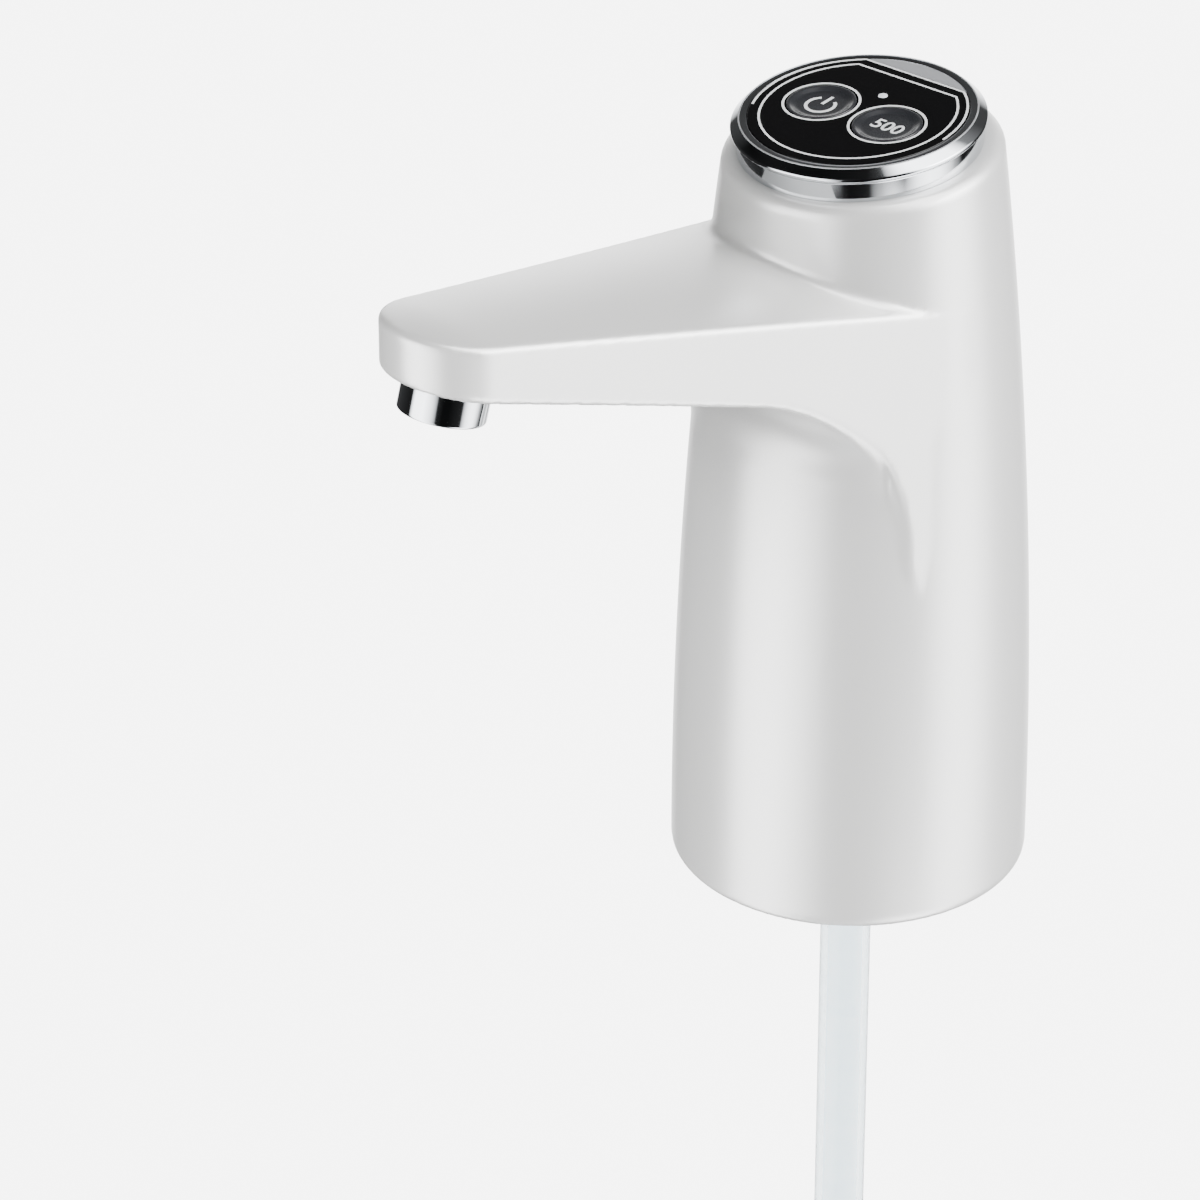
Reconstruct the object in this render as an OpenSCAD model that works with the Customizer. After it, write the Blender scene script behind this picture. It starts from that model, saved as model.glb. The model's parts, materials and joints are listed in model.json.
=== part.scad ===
// Electric water jug pump: a column that stands on the jug's neck, a rising
// spout arm, a tilted round control panel, and a gear pump with its motor inside.
// Millimetres. The base rim is at z = 0, the spout points to -Y, +Z is up.

/* [Column] */
// Radius of the column at its base rim
base_r = 33; // [30:0.5:40]
// Radius of the gentle curve of the column's side, seen from the side
side_curve_r = 1143; // [600:1:3000]
// Height where the column's side starts to lean in
side_start_z = 5; // [0:1:30]
// Thickness of the moulded wall
wall = 2.2; // [1.6:0.1:3]
// Radius of the rounding round the base rim
foot_round = 2; // [0.5:0.5:3]

/* [Spout arm] */
// Distance from the column's axis to the centre of the arm's round tip
arm_reach = 90.7; // [70:0.1:120]
// Half width of the arm at its tip
tip_r = 13; // [10:0.5:18]
// Slope of the arm's top, in degrees
arm_top_slope = 9.65; // [0:0.05:20]
// Slope of the arm's underside, in degrees
arm_under_slope = 15; // [0:0.5:25]
// Height of the arm's top where it would meet the column's axis
arm_top_z = 120.2; // [110:0.1:130]
// Height of the arm's underside where it would meet the column's axis
arm_under_z = 100.4; // [90:0.1:110]
// Radius of the arch between the underside and the column
arch_r = 25; // [15:0.5:40]
// Distance from the column's axis to the back of the arch
arch_back = 13; // [8:0.5:25]
// Rounding of the arm's upper edges
arm_edge_r = 2; // [1:0.1:4]
// Radius of the arm's crowned top, across the arm
arm_crown_r = 90; // [70:1:300]
// Thickness of the arm's wall
arm_wall = 2; // [1.5:0.1:2.5]
// How far the arm's side walls stand inside the column's own side
arm_tuck = 0.7; // [0.3:0.1:2]

/* [Control top] */
// Tilt of the control top toward the spout, in degrees
top_tilt = 5.8; // [0:0.1:15]
// Height of the centre of the column's tilted top lip
lip_z = 142.5; // [130:0.5:160]
// Distance of the top's centre from the column's axis, toward the spout
lip_shift = 1; // [0:0.1:4]
// Thickness of the inward lip under the bezel
lip_t = 2.4; // [1.5:0.1:4]
// Rounding of the lip's outer edge
lip_round = 2.3; // [0.5:0.1:3]
// How far the chrome bezel's rim stands inside the column's top edge
bezel_inset = 2.13; // [1.5:0.01:4]
// Height of the bezel's top face over the lip
bezel_h = 6.2; // [5.5:0.1:8]
// Height of the bezel's widest edge over the lip
rim_z = 4.5; // [3:0.1:5]
// Width of the bezel's rim round the dark panel
bezel_rim = 3.1; // [2:0.1:4]
// Depth of the segment cut off straight at the panel's back
panel_cut = 3.6; // [3:0.1:6]
// Thickness of the dark panel
panel_t = 1.6; // [1:0.1:3]
// Turn of the panel about its own axis, in degrees
panel_turn = 8.5; // [0:0.5:30]
// Distance of each button from the panel's centre line
button_x = 7.5; // [7.2:0.1:10]
// Distance of the buttons from the panel's centre, toward the spout
button_y = 1.1; // [0:0.1:4]
// Radius of a button's cap
button_r = 6.2; // [4:0.1:8]
// Gap between a button and its hole
button_gap = 0.3; // [0.2:0.05:0.6]
// How far a button goes down
button_travel = 0.5; // [0.2:0.1:1]
// Distance of the indicator light from the centre, away from the spout
led_y = 6.7; // [5:0.1:10]
// Radius of the indicator light's lens
lens_r = 0.9; // [0.5:0.1:2]
// Level of the control board's upper face, below the lip
board_level = 5; // [4:0.1:8]
// Thickness of the circuit boards
board_t = 1.2; // [0.8:0.1:2]

/* [Jug neck socket] */
// Radius of the bore that goes over the jug's neck
neck_bore_r = 28; // [24:0.1:30]
// Depth of the bore, up to the underside of the deck
neck_depth = 27; // [15:0.5:40]
// Thickness of the deck over the neck
deck_t = 3; // [2:0.5:5]
// Outer radius of the socket's sleeve, a close fit in the shell
sleeve_r = 30.5; // [28:0.1:36]
// Thickness of the gasket the neck's rim presses on
gasket_t = 1.6; // [1:0.1:3]
// Radius of each leg of the inner frame
leg_r = 2.4; // [2:0.1:4]

/* [Pump and motor] */
// Module of the two pump gears
gear_module = 1; // [0.8:0.1:1.5]
// Teeth on each pump gear
gear_teeth = 12; // [10:1:16]
// Height of the gears
gear_h = 6; // [4:0.5:10]
// Tooth pressure angle, in degrees
pressure_angle = 25; // [20:1:28]
// Play between the teeth at the pitch circle
backlash = 0.16; // [0.05:0.01:0.3]
// Gap round and over the gears in the pump's chamber
gear_gap = 0.3; // [0.1:0.05:0.5]
// Radius of the motor's shaft
shaft_r = 1; // [0.8:0.1:2]
// Running fit between the shaft and its bearings
shaft_fit = 0.05; // [0.02:0.01:0.1]
// Radius of the motor's can
motor_r = 12.2; // [10:0.1:14]
// Height of the motor's can
motor_h = 31; // [20:0.5:40]
// Radius of the idler pin
idler_r = 1.5; // [1:0.1:2.5]
// Distance of the line through the two gears from the column's axis
gear_line_y = 5; // [3:0.5:8]

/* [Battery and charging] */
// Radius of the battery cell
cell_r = 9.2; // [7:0.1:11]
// Height of the battery cell
cell_h = 65; // [50:1:70]
// Height of the charging socket's centre
port_z = 114; // [108:1:122]
// Width of the charging socket
port_w = 8.9; // [6:0.1:12]
// Height of the charging socket's opening
port_h = 3.2; // [2:0.1:5]

/* [Water path] */
// Outer radius of the suction hose
hose_r = 4.75; // [3.5:0.05:6]
// Inner radius of the suction hose
hose_bore_r = 3.3; // [2:0.05:4.5]
// Outer radius of the outlet tube in the arm
tube_r = 3; // [2.4:0.1:3.4]
// Inner radius of the outlet tube
tube_bore_r = 2.1; // [1.5:0.05:2.4]
// Distance of the nozzle's axis past the centre of the arm's round tip
nozzle_past = 1.8; // [-2:0.1:2]
// Outer radius of the nozzle
nozzle_r = 7.8; // [5:0.1:10]
// Length of the nozzle below the underside
nozzle_h = 6.2; // [3:0.1:12]
// Radius of the nozzle's neck through the arm
nozzle_neck_r = 6; // [4:0.1:8]

/* [Output] */
// Sub-part to show

/* [Hidden] */
$fn = 96;

white = [0.95, 0.95, 0.94];
chrome = [0.75, 0.76, 0.78];
dark = [0.08, 0.08, 0.09];
steel = [0.6, 0.6, 0.62];
green = [0.1, 0.35, 0.2];
clear = [0.85, 0.88, 0.9];

big = 200;
deck_z = neck_depth + deck_t;
cavity_z = deck_z + 1;
panel_z = bezel_h - panel_t;
bezel_r = col_r(lip_z) - bezel_inset;
panel_r = bezel_r - bezel_rim;
panel_flat = panel_r - panel_cut;
panel_ledge = 1.4;
skirt_r = bezel_r - 1.4;
lip_bore_r = skirt_r + 0.2;
band_r = bezel_r - 0.8;
bevel_w = 1.6;
// The flange that keeps a button in, and the ring that holds the bezel in the lip
flange_w = 0.8;
clip_t = 1.6;
clip_gap = 0.1;
clip_w = col_r(lip_z - lip_t - clip_t) - wall - lip_shift - skirt_r - clip_gap;
cover_t = 3;
gear_z = deck_z + cover_t;
chamber_h = gear_h + 2 * gear_gap;
pump_top = gear_z + 13;
pump_block_r = 9.6;
lug_h = 4.5;
pitch_r = gear_module * gear_teeth / 2;
tip_radius = pitch_r + 0.9 * gear_module;
root_radius = pitch_r - 1.3 * gear_module;
gear_base_r = pitch_r * cos(pressure_angle);
motor_x = pitch_r;
motor_top = pump_top + motor_h;
cell_x = -4;
cell_y = 15.5;
cell_z = deck_z + 4;
frame_z = cell_z + cell_h + 2.5;
frame_t = 2.5;
frame_gap = 0.9;
// Screws: thread radius, head radius and head height; the base's, the pump's and the board's
screw_r = 1.2;
screw_head_r = 1.9;
screw_head_h = 1.4;
screw_grip = 8;
pump_screw_r = 0.9;
pump_head_r = 1.8;
board_screw_r = 0.7;
board_head_r = 1.3;
board_head_h = 1;
board_screw_in = skirt_r - 1.5;
board_screw_angles = [30, 150, 270];
// The outlet's riser beside the pump, and the spigots that the outlet tube goes over
riser_r = 4.4;
spigot_r = 2;
spigot_bore_r = 1.2;
// Places of the frame's legs and of the riser
legs = [[20, 10], [-20, -2], [11.6, -20]];
riser = [-7.5, -18];
port_depth = 10.3;
board_y = col_r(port_z) - port_depth;
pump_holes = [[15.5, -11.7], [14, 3.5], [-14.2, 3.2], [-16, -11]];
nozzle_reach = arm_reach + nozzle_past;
nozzle_under = arm_under_z + nozzle_reach * tan(arm_under_slope);

// Radius of the column at a height
function col_r(z) = base_r - (z <= side_start_z ? 0 : pow(z - side_start_z, 2) / (2 * side_curve_r));
// Heights of the arm's top and underside at a distance from the axis
function top_at(u) = arm_top_z + u * tan(arm_top_slope);
function under_at(u) = arm_under_z + u * tan(arm_under_slope);
// Half width of the arm at a distance from the axis and a height
function wall_at(u, z) = u > arm_reach
    ? sqrt(max(1, pow(tip_r, 2) - pow(u - arm_reach, 2)))
    : tip_r + (0.99 * col_r(z) - arm_tuck - tip_r) * (arm_reach - u) / (arm_reach - 4);
// The arch: a quarter turn from the column's side to the straight underside
arch_u = arch_back + arch_r;
arch_z = under_at(arch_u) - arch_r / cos(arm_under_slope);
function arch_at(a) = [arch_u - arch_r * cos(a), arch_z + arch_r * sin(a)];
arch_stations = [for (a = [0 : 12.5 : 75]) arch_at(a)];
arm_stations = concat(
    [[6, arch_z - 22], [arch_back - 0.6, arch_z - 14]],
    arch_stations,
    [for (u = [42, 56, 70, 80, 86]) [u, under_at(u)]],
    [for (a = [0, 18, 36, 52, 66, 78]) let(u = arm_reach + tip_r * sin(a)) [u, under_at(u)]]);
channel_stations = concat(
    [[18, arm_under_z - 0.4]],
    [for (u = [34, 44, 56, 70, 80, 86]) [u, under_at(u)]],
    [for (a = [0, 20, 40, 58]) let(u = arm_reach + (tip_r - arm_wall) * sin(a)) [u, under_at(u)]]);

// Rise of the arm's crowned top over its edges, at a share f of the half width w
function crown(w, f) = (1 - f * f) * w * w / (2 * arm_crown_r);
// One rounded cross-section of the arm, inset by g
function section(s, g) = let(
    u = s[0], zb = s[1] + g, zt = top_at(u) - g,
    wt = max(0.8, wall_at(u, zt) - g), wb = max(0.8, wall_at(u, zb) - g),
    rt = min(max(0.4, arm_edge_r - g / 2), wt * 0.7), rb = min(1.2, wb * 0.7))
    concat(
        [for (a = [0 : 22.5 : 90]) [wt - rt + rt * cos(a), -u, zt - rt + rt * sin(a)]],
        [for (f = [0.7, 0.4, 0, -0.4, -0.7]) [f * (wt - rt), -u, zt + crown(wt - rt, f)]],
        [for (a = [90 : 22.5 : 180]) [-wt + rt + rt * cos(a), -u, zt - rt + rt * sin(a)]],
        [for (a = [180 : 30 : 270]) [-wb + rb + rb * cos(a), -u, zb + rb + rb * sin(a)]],
        [for (a = [270 : 30 : 360]) [wb - rb + rb * cos(a), -u, zb + rb + rb * sin(a)]]);

// A solid through rings of points that all have the same count
module loft(rings) {
    n = len(rings[0]);
    m = len(rings);
    polyhedron(
        points = [for (r = rings) for (p = r) p],
        faces = concat(
            [[for (i = [0 : n - 1]) i]],
            [for (k = [0 : m - 2]) for (i = [0 : n - 1])
                [k * n + i, (k + 1) * n + (i + 1) % n, k * n + (i + 1) % n]],
            [for (k = [0 : m - 2]) for (i = [0 : n - 1])
                [k * n + i, (k + 1) * n + i, (k + 1) * n + (i + 1) % n]],
            [[for (i = [n - 1 : -1 : 0]) (m - 1) * n + i]]));
}

function unit(v) = v / norm(v);
function tangent(p, i) = unit(p[min(i + 1, len(p) - 1)] - p[max(i - 1, 0)]);
// The side direction at each point, carried along the path without twist
function carried(p, i, side) = let(t = tangent(p, i), s = unit(side - (side * t) * t))
    i == len(p) - 1 ? [s] : concat([s], carried(p, i + 1, s));
// A smooth path through the points, n steps between each two
function smooth_at(a, b, c, d, t) = 0.5 * ((2 * b) + (c - a) * t + (2 * a - 5 * b + 4 * c - d) * t * t
    + (3 * b - a - 3 * c + d) * t * t * t);
function smooth(p, n) = concat(
    [for (i = [0 : len(p) - 2]) for (k = [0 : n - 1])
        smooth_at(p[max(i - 1, 0)], p[i], p[i + 1], p[min(i + 2, len(p) - 1)], k / n)],
    [p[len(p) - 1]]);

// A hollow tube of n sides along a path
module tube_along(path, r_out, r_in, n) {
    m = len(path);
    sides = carried(path, 0, [1, 0, 0]);
    k = 1 / cos(180 / n);
    function ring(i, r) = let(t = tangent(path, i), s = sides[i], b = cross(t, s))
        [for (j = [0 : n - 1]) path[i] + r * (s * cos(360 * j / n) + b * sin(360 * j / n))];
    polyhedron(
        points = concat(
            [for (i = [0 : m - 1]) for (p = ring(i, r_out)) p],
            [for (i = [0 : m - 1]) for (p = ring(i, r_in * k)) p]),
        faces = concat(
            [for (i = [0 : m - 2]) for (j = [0 : n - 1])
                [i * n + j, (i + 1) * n + j, (i + 1) * n + (j + 1) % n]],
            [for (i = [0 : m - 2]) for (j = [0 : n - 1])
                [i * n + j, (i + 1) * n + (j + 1) % n, i * n + (j + 1) % n]],
            [for (i = [0 : m - 2]) for (j = [0 : n - 1])
                [(m + i) * n + j, (m + i + 1) * n + (j + 1) % n, (m + i + 1) * n + j]],
            [for (i = [0 : m - 2]) for (j = [0 : n - 1])
                [(m + i) * n + j, (m + i) * n + (j + 1) % n, (m + i + 1) * n + (j + 1) % n]],
            [for (j = [0 : n - 1]) [j, (j + 1) % n, m * n + (j + 1) % n]],
            [for (j = [0 : n - 1]) [j, m * n + (j + 1) % n, m * n + j]],
            [for (j = [0 : n - 1]) let(a = (m - 1) * n, c = (2 * m - 1) * n)
                [a + j, c + (j + 1) % n, a + (j + 1) % n]],
            [for (j = [0 : n - 1]) let(a = (m - 1) * n, c = (2 * m - 1) * n)
                [a + j, c + j, c + (j + 1) % n]]));
}

// Places of the tilted top and of the nozzle
module at_top() translate([0, -lip_shift, lip_z]) rotate([top_tilt, 0, 0]) children();
module at_nozzle() translate([0, -nozzle_reach, nozzle_under]) rotate([-arm_under_slope, 0, 0]) children();
module at_panel() at_top() rotate(panel_turn) children();
module at_button(s, z) at_panel() translate([s * button_x, -button_y, z]) children();
module above_top(level) at_top() translate([-big / 2, -big / 2, level]) cube(big);

module ring(r_out, r_in, h) difference() {
    cylinder(r = r_out, h = h);
    translate([0, 0, -1]) cylinder(r = r_in, h = h + 2);
}

// The lip's edge, seen along the tilted axis, is close to a circle a little behind the centre
lip_ease = 0.15;
lip_rise = col_r(lip_z) * tan(top_tilt);
lip_front = (col_r(lip_z - lip_rise) - lip_shift) / cos(top_tilt);
lip_back = (col_r(lip_z + lip_rise) + lip_shift) / cos(top_tilt);
lip_r = (lip_front + lip_back) / 2 + lip_ease;
module lip_rounding() at_top() translate([0, (lip_back - lip_front) / 2, 0]) rotate_extrude()
    polygon(concat(
        [[lip_r - lip_round, 1]],
        [for (a = [90 : -15 : 0]) [lip_r - lip_round + lip_round * cos(a), lip_round * (sin(a) - 1)]],
        [[lip_r + lip_round, -lip_round], [lip_r + lip_round, 1]]));

module column_solid() difference() {
    rotate_extrude() polygon(concat(
        [[0, 0], [base_r - foot_round, 0]],
        [for (a = [-60 : 30 : 0]) [base_r - foot_round * (1 - cos(a)), foot_round * (1 + sin(a))]],
        [for (z = [side_start_z : 8.5 : 150]) [col_r(z), z]],
        [[0, 149.5]]));
    above_top(0);
    lip_rounding();
}

module column_cavity() difference() {
    rotate_extrude() polygon(concat(
        [[0, cavity_z]],
        [for (z = [cavity_z : 9 : 150]) [col_r(z) - wall, z]],
        [[0, 148]]));
    above_top(-lip_t);
}

// The width of a charging socket is its two round ends and the bar between
module port_outline(w, h) {
    square([w - h, h], center = true);
    for (s = [-1, 1]) translate([s * (w - h) / 2, 0]) circle(r = h / 2);
}

module body_shell() color(white) difference() {
    union() {
        column_solid();
        loft([for (s = arm_stations) section(s, 0)]);
    }
    column_cavity();
    translate([0, 0, -1]) cylinder(r = sleeve_r, h = cavity_z + 1.2);
    loft([for (s = channel_stations) section(s, arm_wall)]);
    at_top() translate([0, 0, -lip_t - 1]) cylinder(r = lip_bore_r, h = lip_t + 2);
    at_nozzle() translate([0, 0, -2]) cylinder(r = nozzle_neck_r, h = 5);
    translate([0, base_r, port_z]) rotate([90, 0, 0])
        linear_extrude(height = 12) port_outline(port_w + 0.6, port_h + 0.6);
}

module neck_socket() color(white) difference() {
    cylinder(r = sleeve_r, h = deck_z);
    translate([0, 0, -1]) cylinder(r = neck_bore_r, h = neck_depth + 1);
    translate([0, 0, -0.01]) cylinder(r1 = neck_bore_r + 1.2, r2 = neck_bore_r, h = 2);
    translate([0, 0, neck_depth - 1]) cylinder(r = 3.6, h = deck_t + 2);
    for (p = legs) translate([p[0], p[1], neck_depth - 1]) cylinder(r = screw_r + 0.1, h = deck_t + 2);
}

module neck_gasket() color(dark)
    translate([0, 0, neck_depth - gasket_t]) ring(neck_bore_r - 0.1, neck_bore_r - 2.8, gasket_t);

module base_screws() color(steel)
    for (p = legs) translate([p[0], p[1], 0]) {
        translate([0, 0, neck_depth - screw_head_h]) cylinder(r = screw_head_r, h = screw_head_h);
        translate([0, 0, neck_depth - 0.01]) cylinder(r = screw_r, h = deck_t + screw_grip);
    }

module inner_frame() color(white) difference() {
    union() {
        translate([0, 0, frame_z]) cylinder(r = col_r(frame_z + frame_t) - wall - frame_gap, h = frame_t);
        for (p = legs) translate([p[0], p[1], deck_z]) cylinder(r = leg_r, h = frame_z - deck_z + 0.1);
    }
    for (p = legs) translate([p[0], p[1], deck_z - 1]) cylinder(r = screw_r, h = screw_grip + 1.2);
    translate([riser[0] + 1, riser[1] - 1.8, frame_z - 1]) cylinder(r = tube_r + 3.2, h = frame_t + 2);
    translate([-9.2, board_y - 0.1, frame_z + frame_t - 1]) cube([18.4, board_t + 0.2, 2]);
    translate([8, -4, frame_z - 1]) cylinder(r = 5, h = frame_t + 2);
}

module bezel_ring() color(chrome) at_panel() difference() {
    rotate_extrude() polygon([[0, -board_level], [skirt_r, -board_level], [skirt_r, 0], [band_r, 0],
        [band_r, rim_z - 0.9], [bezel_r, rim_z - 0.2], [bezel_r, rim_z + 0.2],
        [bezel_r - bevel_w, bezel_h - 0.1], [bezel_r - bevel_w - 0.3, bezel_h], [0, bezel_h]]);
    difference() {
        translate([0, 0, panel_z]) cylinder(r = panel_r + 0.1, h = panel_t + 1);
        translate([-big / 2, panel_flat + 0.1, panel_z - 1]) cube([big, big, panel_t + 4]);
    }
    difference() {
        translate([0, 0, -board_level - 1]) cylinder(r = panel_r - panel_ledge, h = board_level + bezel_h);
        translate([-big / 2, panel_flat - 1.6, 0.5]) cube([big, big, 20]);
    }
    for (a = board_screw_angles) rotate(a) translate([board_screw_in, 0, -board_level - 1])
        cylinder(r = board_screw_r, h = 5);
}

module retaining_ring() color(dark) at_top() translate([0, 0, -lip_t - clip_t - 0.05])
    ring(skirt_r + clip_w, skirt_r, clip_t);

module control_panel() color(dark) at_panel() difference() {
    translate([0, 0, panel_z]) cylinder(r = panel_r, h = panel_t);
    translate([-big / 2, panel_flat, panel_z - 1]) cube([big, big, panel_t + 2]);
    for (s = [-1, 1]) translate([s * button_x, -button_y, panel_z - 1])
        cylinder(r = button_r + button_gap, h = panel_t + 2);
    translate([0, led_y, panel_z - 1]) cylinder(r = lens_r, h = panel_t + 2);
}

// A cap with a hidden flange that the panel holds back
module button_cap(s) color(dark) at_button(s, 0) rotate_extrude()
    polygon([[0, panel_z - 1.6], [button_r + flange_w, panel_z - 1.6], [button_r + flange_w, panel_z - 0.4],
        [button_r, panel_z - 0.4], [button_r, bezel_h - 0.1], [button_r - 0.3, bezel_h + 0.15],
        [button_r - 1.6, bezel_h + 0.05], [0, bezel_h - 0.15]]);
module power_button() button_cap(-1);
module volume_button() button_cap(1);

module plunger(s) color(white) at_button(s, -2.6) cylinder(r = 1.4, h = panel_z - 1.6 + 2.6);
module power_plunger() plunger(-1);
module volume_plunger() plunger(1);

module indicator_lens() color(clear) at_panel() translate([0, led_y, 0]) {
    translate([0, 0, 1.6]) cylinder(r = lens_r, h = bezel_h - 1.6);
    translate([0, 0, panel_z - 1]) cylinder(r = lens_r + 0.8, h = 1);
}

module status_led() color(clear) at_panel() translate([0, led_y, -board_level]) {
    cylinder(r = 1.9, h = 1);
    cylinder(r = 1.5, h = 6.6);
}

module control_board() color(green) at_panel() difference() {
    translate([0, 0, -board_level - board_t]) cylinder(r = skirt_r - 0.2, h = board_t);
    for (a = board_screw_angles) rotate(a) translate([board_screw_in, 0, -board_level - board_t - 1])
        cylinder(r = board_screw_r, h = board_t + 2);
}

module tact_switches() color(dark) for (s = [-1, 1]) at_button(s, -board_level) difference() {
    translate([-3, -3, 0]) cube([6, 6, 3.4]);
    translate([0, 0, 1.2]) cylinder(r = 1.7, h = 4);
}

module board_screws() color(steel) at_panel() for (a = board_screw_angles) rotate(a)
    translate([board_screw_in, 0, -board_level - board_t - board_head_h]) {
        cylinder(r = board_head_r, h = board_head_h);
        cylinder(r = board_screw_r, h = 5);
    }

module battery_cell() color([0.2, 0.45, 0.7]) translate([cell_x, cell_y, cell_z]) {
    cylinder(r = cell_r, h = cell_h - 1);
    cylinder(r = 3, h = cell_h);
}

module battery_cradle() color(dark) translate([cell_x, cell_y, 0]) difference() {
    translate([0, 0, deck_z]) cylinder(r = cell_r + 1.2, h = 12);
    translate([0, 0, cell_z]) cylinder(r = cell_r + 0.1, h = 12);
    translate([-big / 2, -big - 8.6, deck_z - 1]) cube([big, big, 20]);
}

module charge_board() color(green)
    translate([-9, board_y, frame_z + frame_t - 1]) cube([18, board_t, 18]);

module charge_port() color(steel) translate([0, board_y + board_t, port_z]) rotate([-90, 0, 0])
    difference() {
        linear_extrude(height = 7.6) port_outline(port_w, port_h);
        translate([0, 0, 1]) linear_extrude(height = 8) port_outline(port_w - 0.6, port_h - 0.6);
        }

// Everything on the motor's axis
module at_motor(z) translate([motor_x, -gear_line_y, z]) children();

module motor_can() color(steel) at_motor(pump_top) difference() {
    cylinder(r = motor_r, h = motor_h);
    translate([0, 0, 1.5]) cylinder(r = motor_r - 0.9, h = motor_h);
    translate([0, 0, -1]) cylinder(r = shaft_r + shaft_fit, h = 4);
    for (s = [-1, 1]) translate([s * 8, 0, -1]) cylinder(r = 1, h = 4);
}

module motor_magnets() color(dark) at_motor(pump_top + 4) ring(motor_r - 0.9, motor_r - 3.2, 20);

module motor_rotor() color(steel) at_motor(0) {
    translate([0, 0, gear_z + gear_gap]) cylinder(r = shaft_r, h = motor_top + 1.4 - gear_z - gear_gap);
    translate([0, 0, pump_top + 5]) cylinder(r = motor_r - 3.8, h = 18);
    translate([0, 0, pump_top + 23]) cylinder(r = 3, h = 5);
}

module motor_end_cap() color(dark) at_motor(motor_top - 1.6) difference() {
    union() {
        cylinder(r = motor_r - 0.9, h = 1.6);
        translate([0, 0, 1.6]) cylinder(r = motor_r - 1.8, h = 0.8);
        translate([0, 0, 1.6]) cylinder(r = 3.2, h = 2);
    }
    translate([0, 0, -1]) cylinder(r = shaft_r + shaft_fit, h = 6);
}

module motor_terminals() color([0.75, 0.62, 0.3]) for (s = [-1, 1])
    translate([motor_x + s * 7 - 1.2, -gear_line_y - 0.25, motor_top + 0.8]) cube([2.4, 0.5, 4]);

// The pump's outline: two rounds, the bar between them, and the outlet's lobe
module pump_outline(r) {
    for (s = [-1, 1]) translate([s * pitch_r, -gear_line_y]) circle(r = r);
    translate([-pitch_r, -gear_line_y - r]) square([2 * pitch_r, 2 * r]);
}
module pump_lugs(h) for (p = pump_holes) translate([p[0], p[1], 0]) cylinder(r = 2.6, h = h);

module pump_body() color(dark) difference() {
    union() {
        translate([0, 0, gear_z]) linear_extrude(height = pump_top - gear_z) pump_outline(pump_block_r);
        translate([0, 0, gear_z]) pump_lugs(lug_h);
        at_motor(gear_z + 7) cylinder(r = motor_r, h = pump_top - gear_z - 7);
        translate([riser[0], riser[1], gear_z]) cylinder(r = riser_r, h = pump_top - gear_z);
        translate([riser[0], riser[1], pump_top - 0.1]) cylinder(r = spigot_r, h = 8.1);
        translate([riser[0] - 3.5, riser[1], gear_z]) cube([8, 8, pump_top - gear_z]);
    }
    for (s = [-1, 1]) translate([s * pitch_r, -gear_line_y, gear_z - 1])
        cylinder(r = tip_radius + gear_gap, h = chamber_h + 1);
    translate([0, 0, gear_z - 1]) cylinder(r = 2.2, h = chamber_h + 1);
    translate([0, -2 * gear_line_y, gear_z - 1]) cylinder(r = 2.2, h = chamber_h + 1);
    translate([-pitch_r, -gear_line_y, gear_z - 1]) cylinder(r = idler_r, h = 11);
    at_motor(gear_z - 1) cylinder(r = shaft_r + 0.4, h = 16);
    at_motor(pump_top - 3) cylinder(r = 3, h = 4);
    translate([riser[0], riser[1], gear_z + 2]) cylinder(r = spigot_bore_r, h = 20);
    translate([0, -2 * gear_line_y, gear_z + 3.3])
        rotate([90, 0, atan2(riser[0], 2 * gear_line_y - riser[1] - 20)])
            translate([0, 0, -0.5]) cylinder(r = spigot_bore_r, h = 2);
    for (p = pump_holes) translate([p[0], p[1], gear_z - 1]) cylinder(r = pump_screw_r, h = 10);
}

module pump_cover() color(dark) difference() {
    union() {
        translate([0, 0, deck_z]) linear_extrude(height = cover_t) pump_outline(pump_block_r);
        translate([0, 0, deck_z]) pump_lugs(cover_t);
        translate([riser[0], riser[1], deck_z]) cylinder(r = riser_r, h = cover_t);
        translate([riser[0] - 3.5, riser[1], deck_z]) cube([8, 8, cover_t]);
    }
    translate([0, 0, deck_z - 1]) cylinder(r = 3.2, h = 2.2);
    translate([0, 0, deck_z - 1]) cylinder(r = 2, h = cover_t + 2);
    translate([-pitch_r, -gear_line_y, deck_z + 1]) cylinder(r = idler_r, h = 4);
    for (p = pump_holes) translate([p[0], p[1], deck_z - 1]) cylinder(r = pump_screw_r, h = 10);
}

module pump_screws() color(steel) for (p = pump_holes) translate([p[0], p[1], 0]) {
    translate([0, 0, gear_z + lug_h]) cylinder(r = pump_head_r, h = screw_head_h);
    translate([0, 0, deck_z + 0.4]) cylinder(r = pump_screw_r, h = gear_z + lug_h - deck_z);
}

module shaft_seal() color(dark) at_motor(pump_top - 3) ring(3, shaft_r + shaft_fit, 3);

// An involute tooth outline, point by point from root to tip and back
function roll(r) = let(a = acos(min(1, gear_base_r / r))) (tan(a) - a * PI / 180) * 180 / PI;
function half_tooth(r) = 90 / gear_teeth - backlash / 4 / pitch_r * 180 / PI
    + roll(pitch_r) - roll(max(r, gear_base_r));
flank = [for (k = [0 : 6]) gear_base_r + (tip_radius - gear_base_r) * k / 6];
function at_angle(r, a) = [r * cos(a), r * sin(a)];
tooth_points = [for (t = [0 : gear_teeth - 1]) let(c = t * 360 / gear_teeth) each concat(
    [at_angle(root_radius, c - half_tooth(gear_base_r))],
    [for (r = flank) at_angle(r, c - half_tooth(r))],
    [for (k = [6 : -1 : 0]) at_angle(flank[k], c + half_tooth(flank[k]))],
    [at_angle(root_radius, c + half_tooth(gear_base_r))])];

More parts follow.
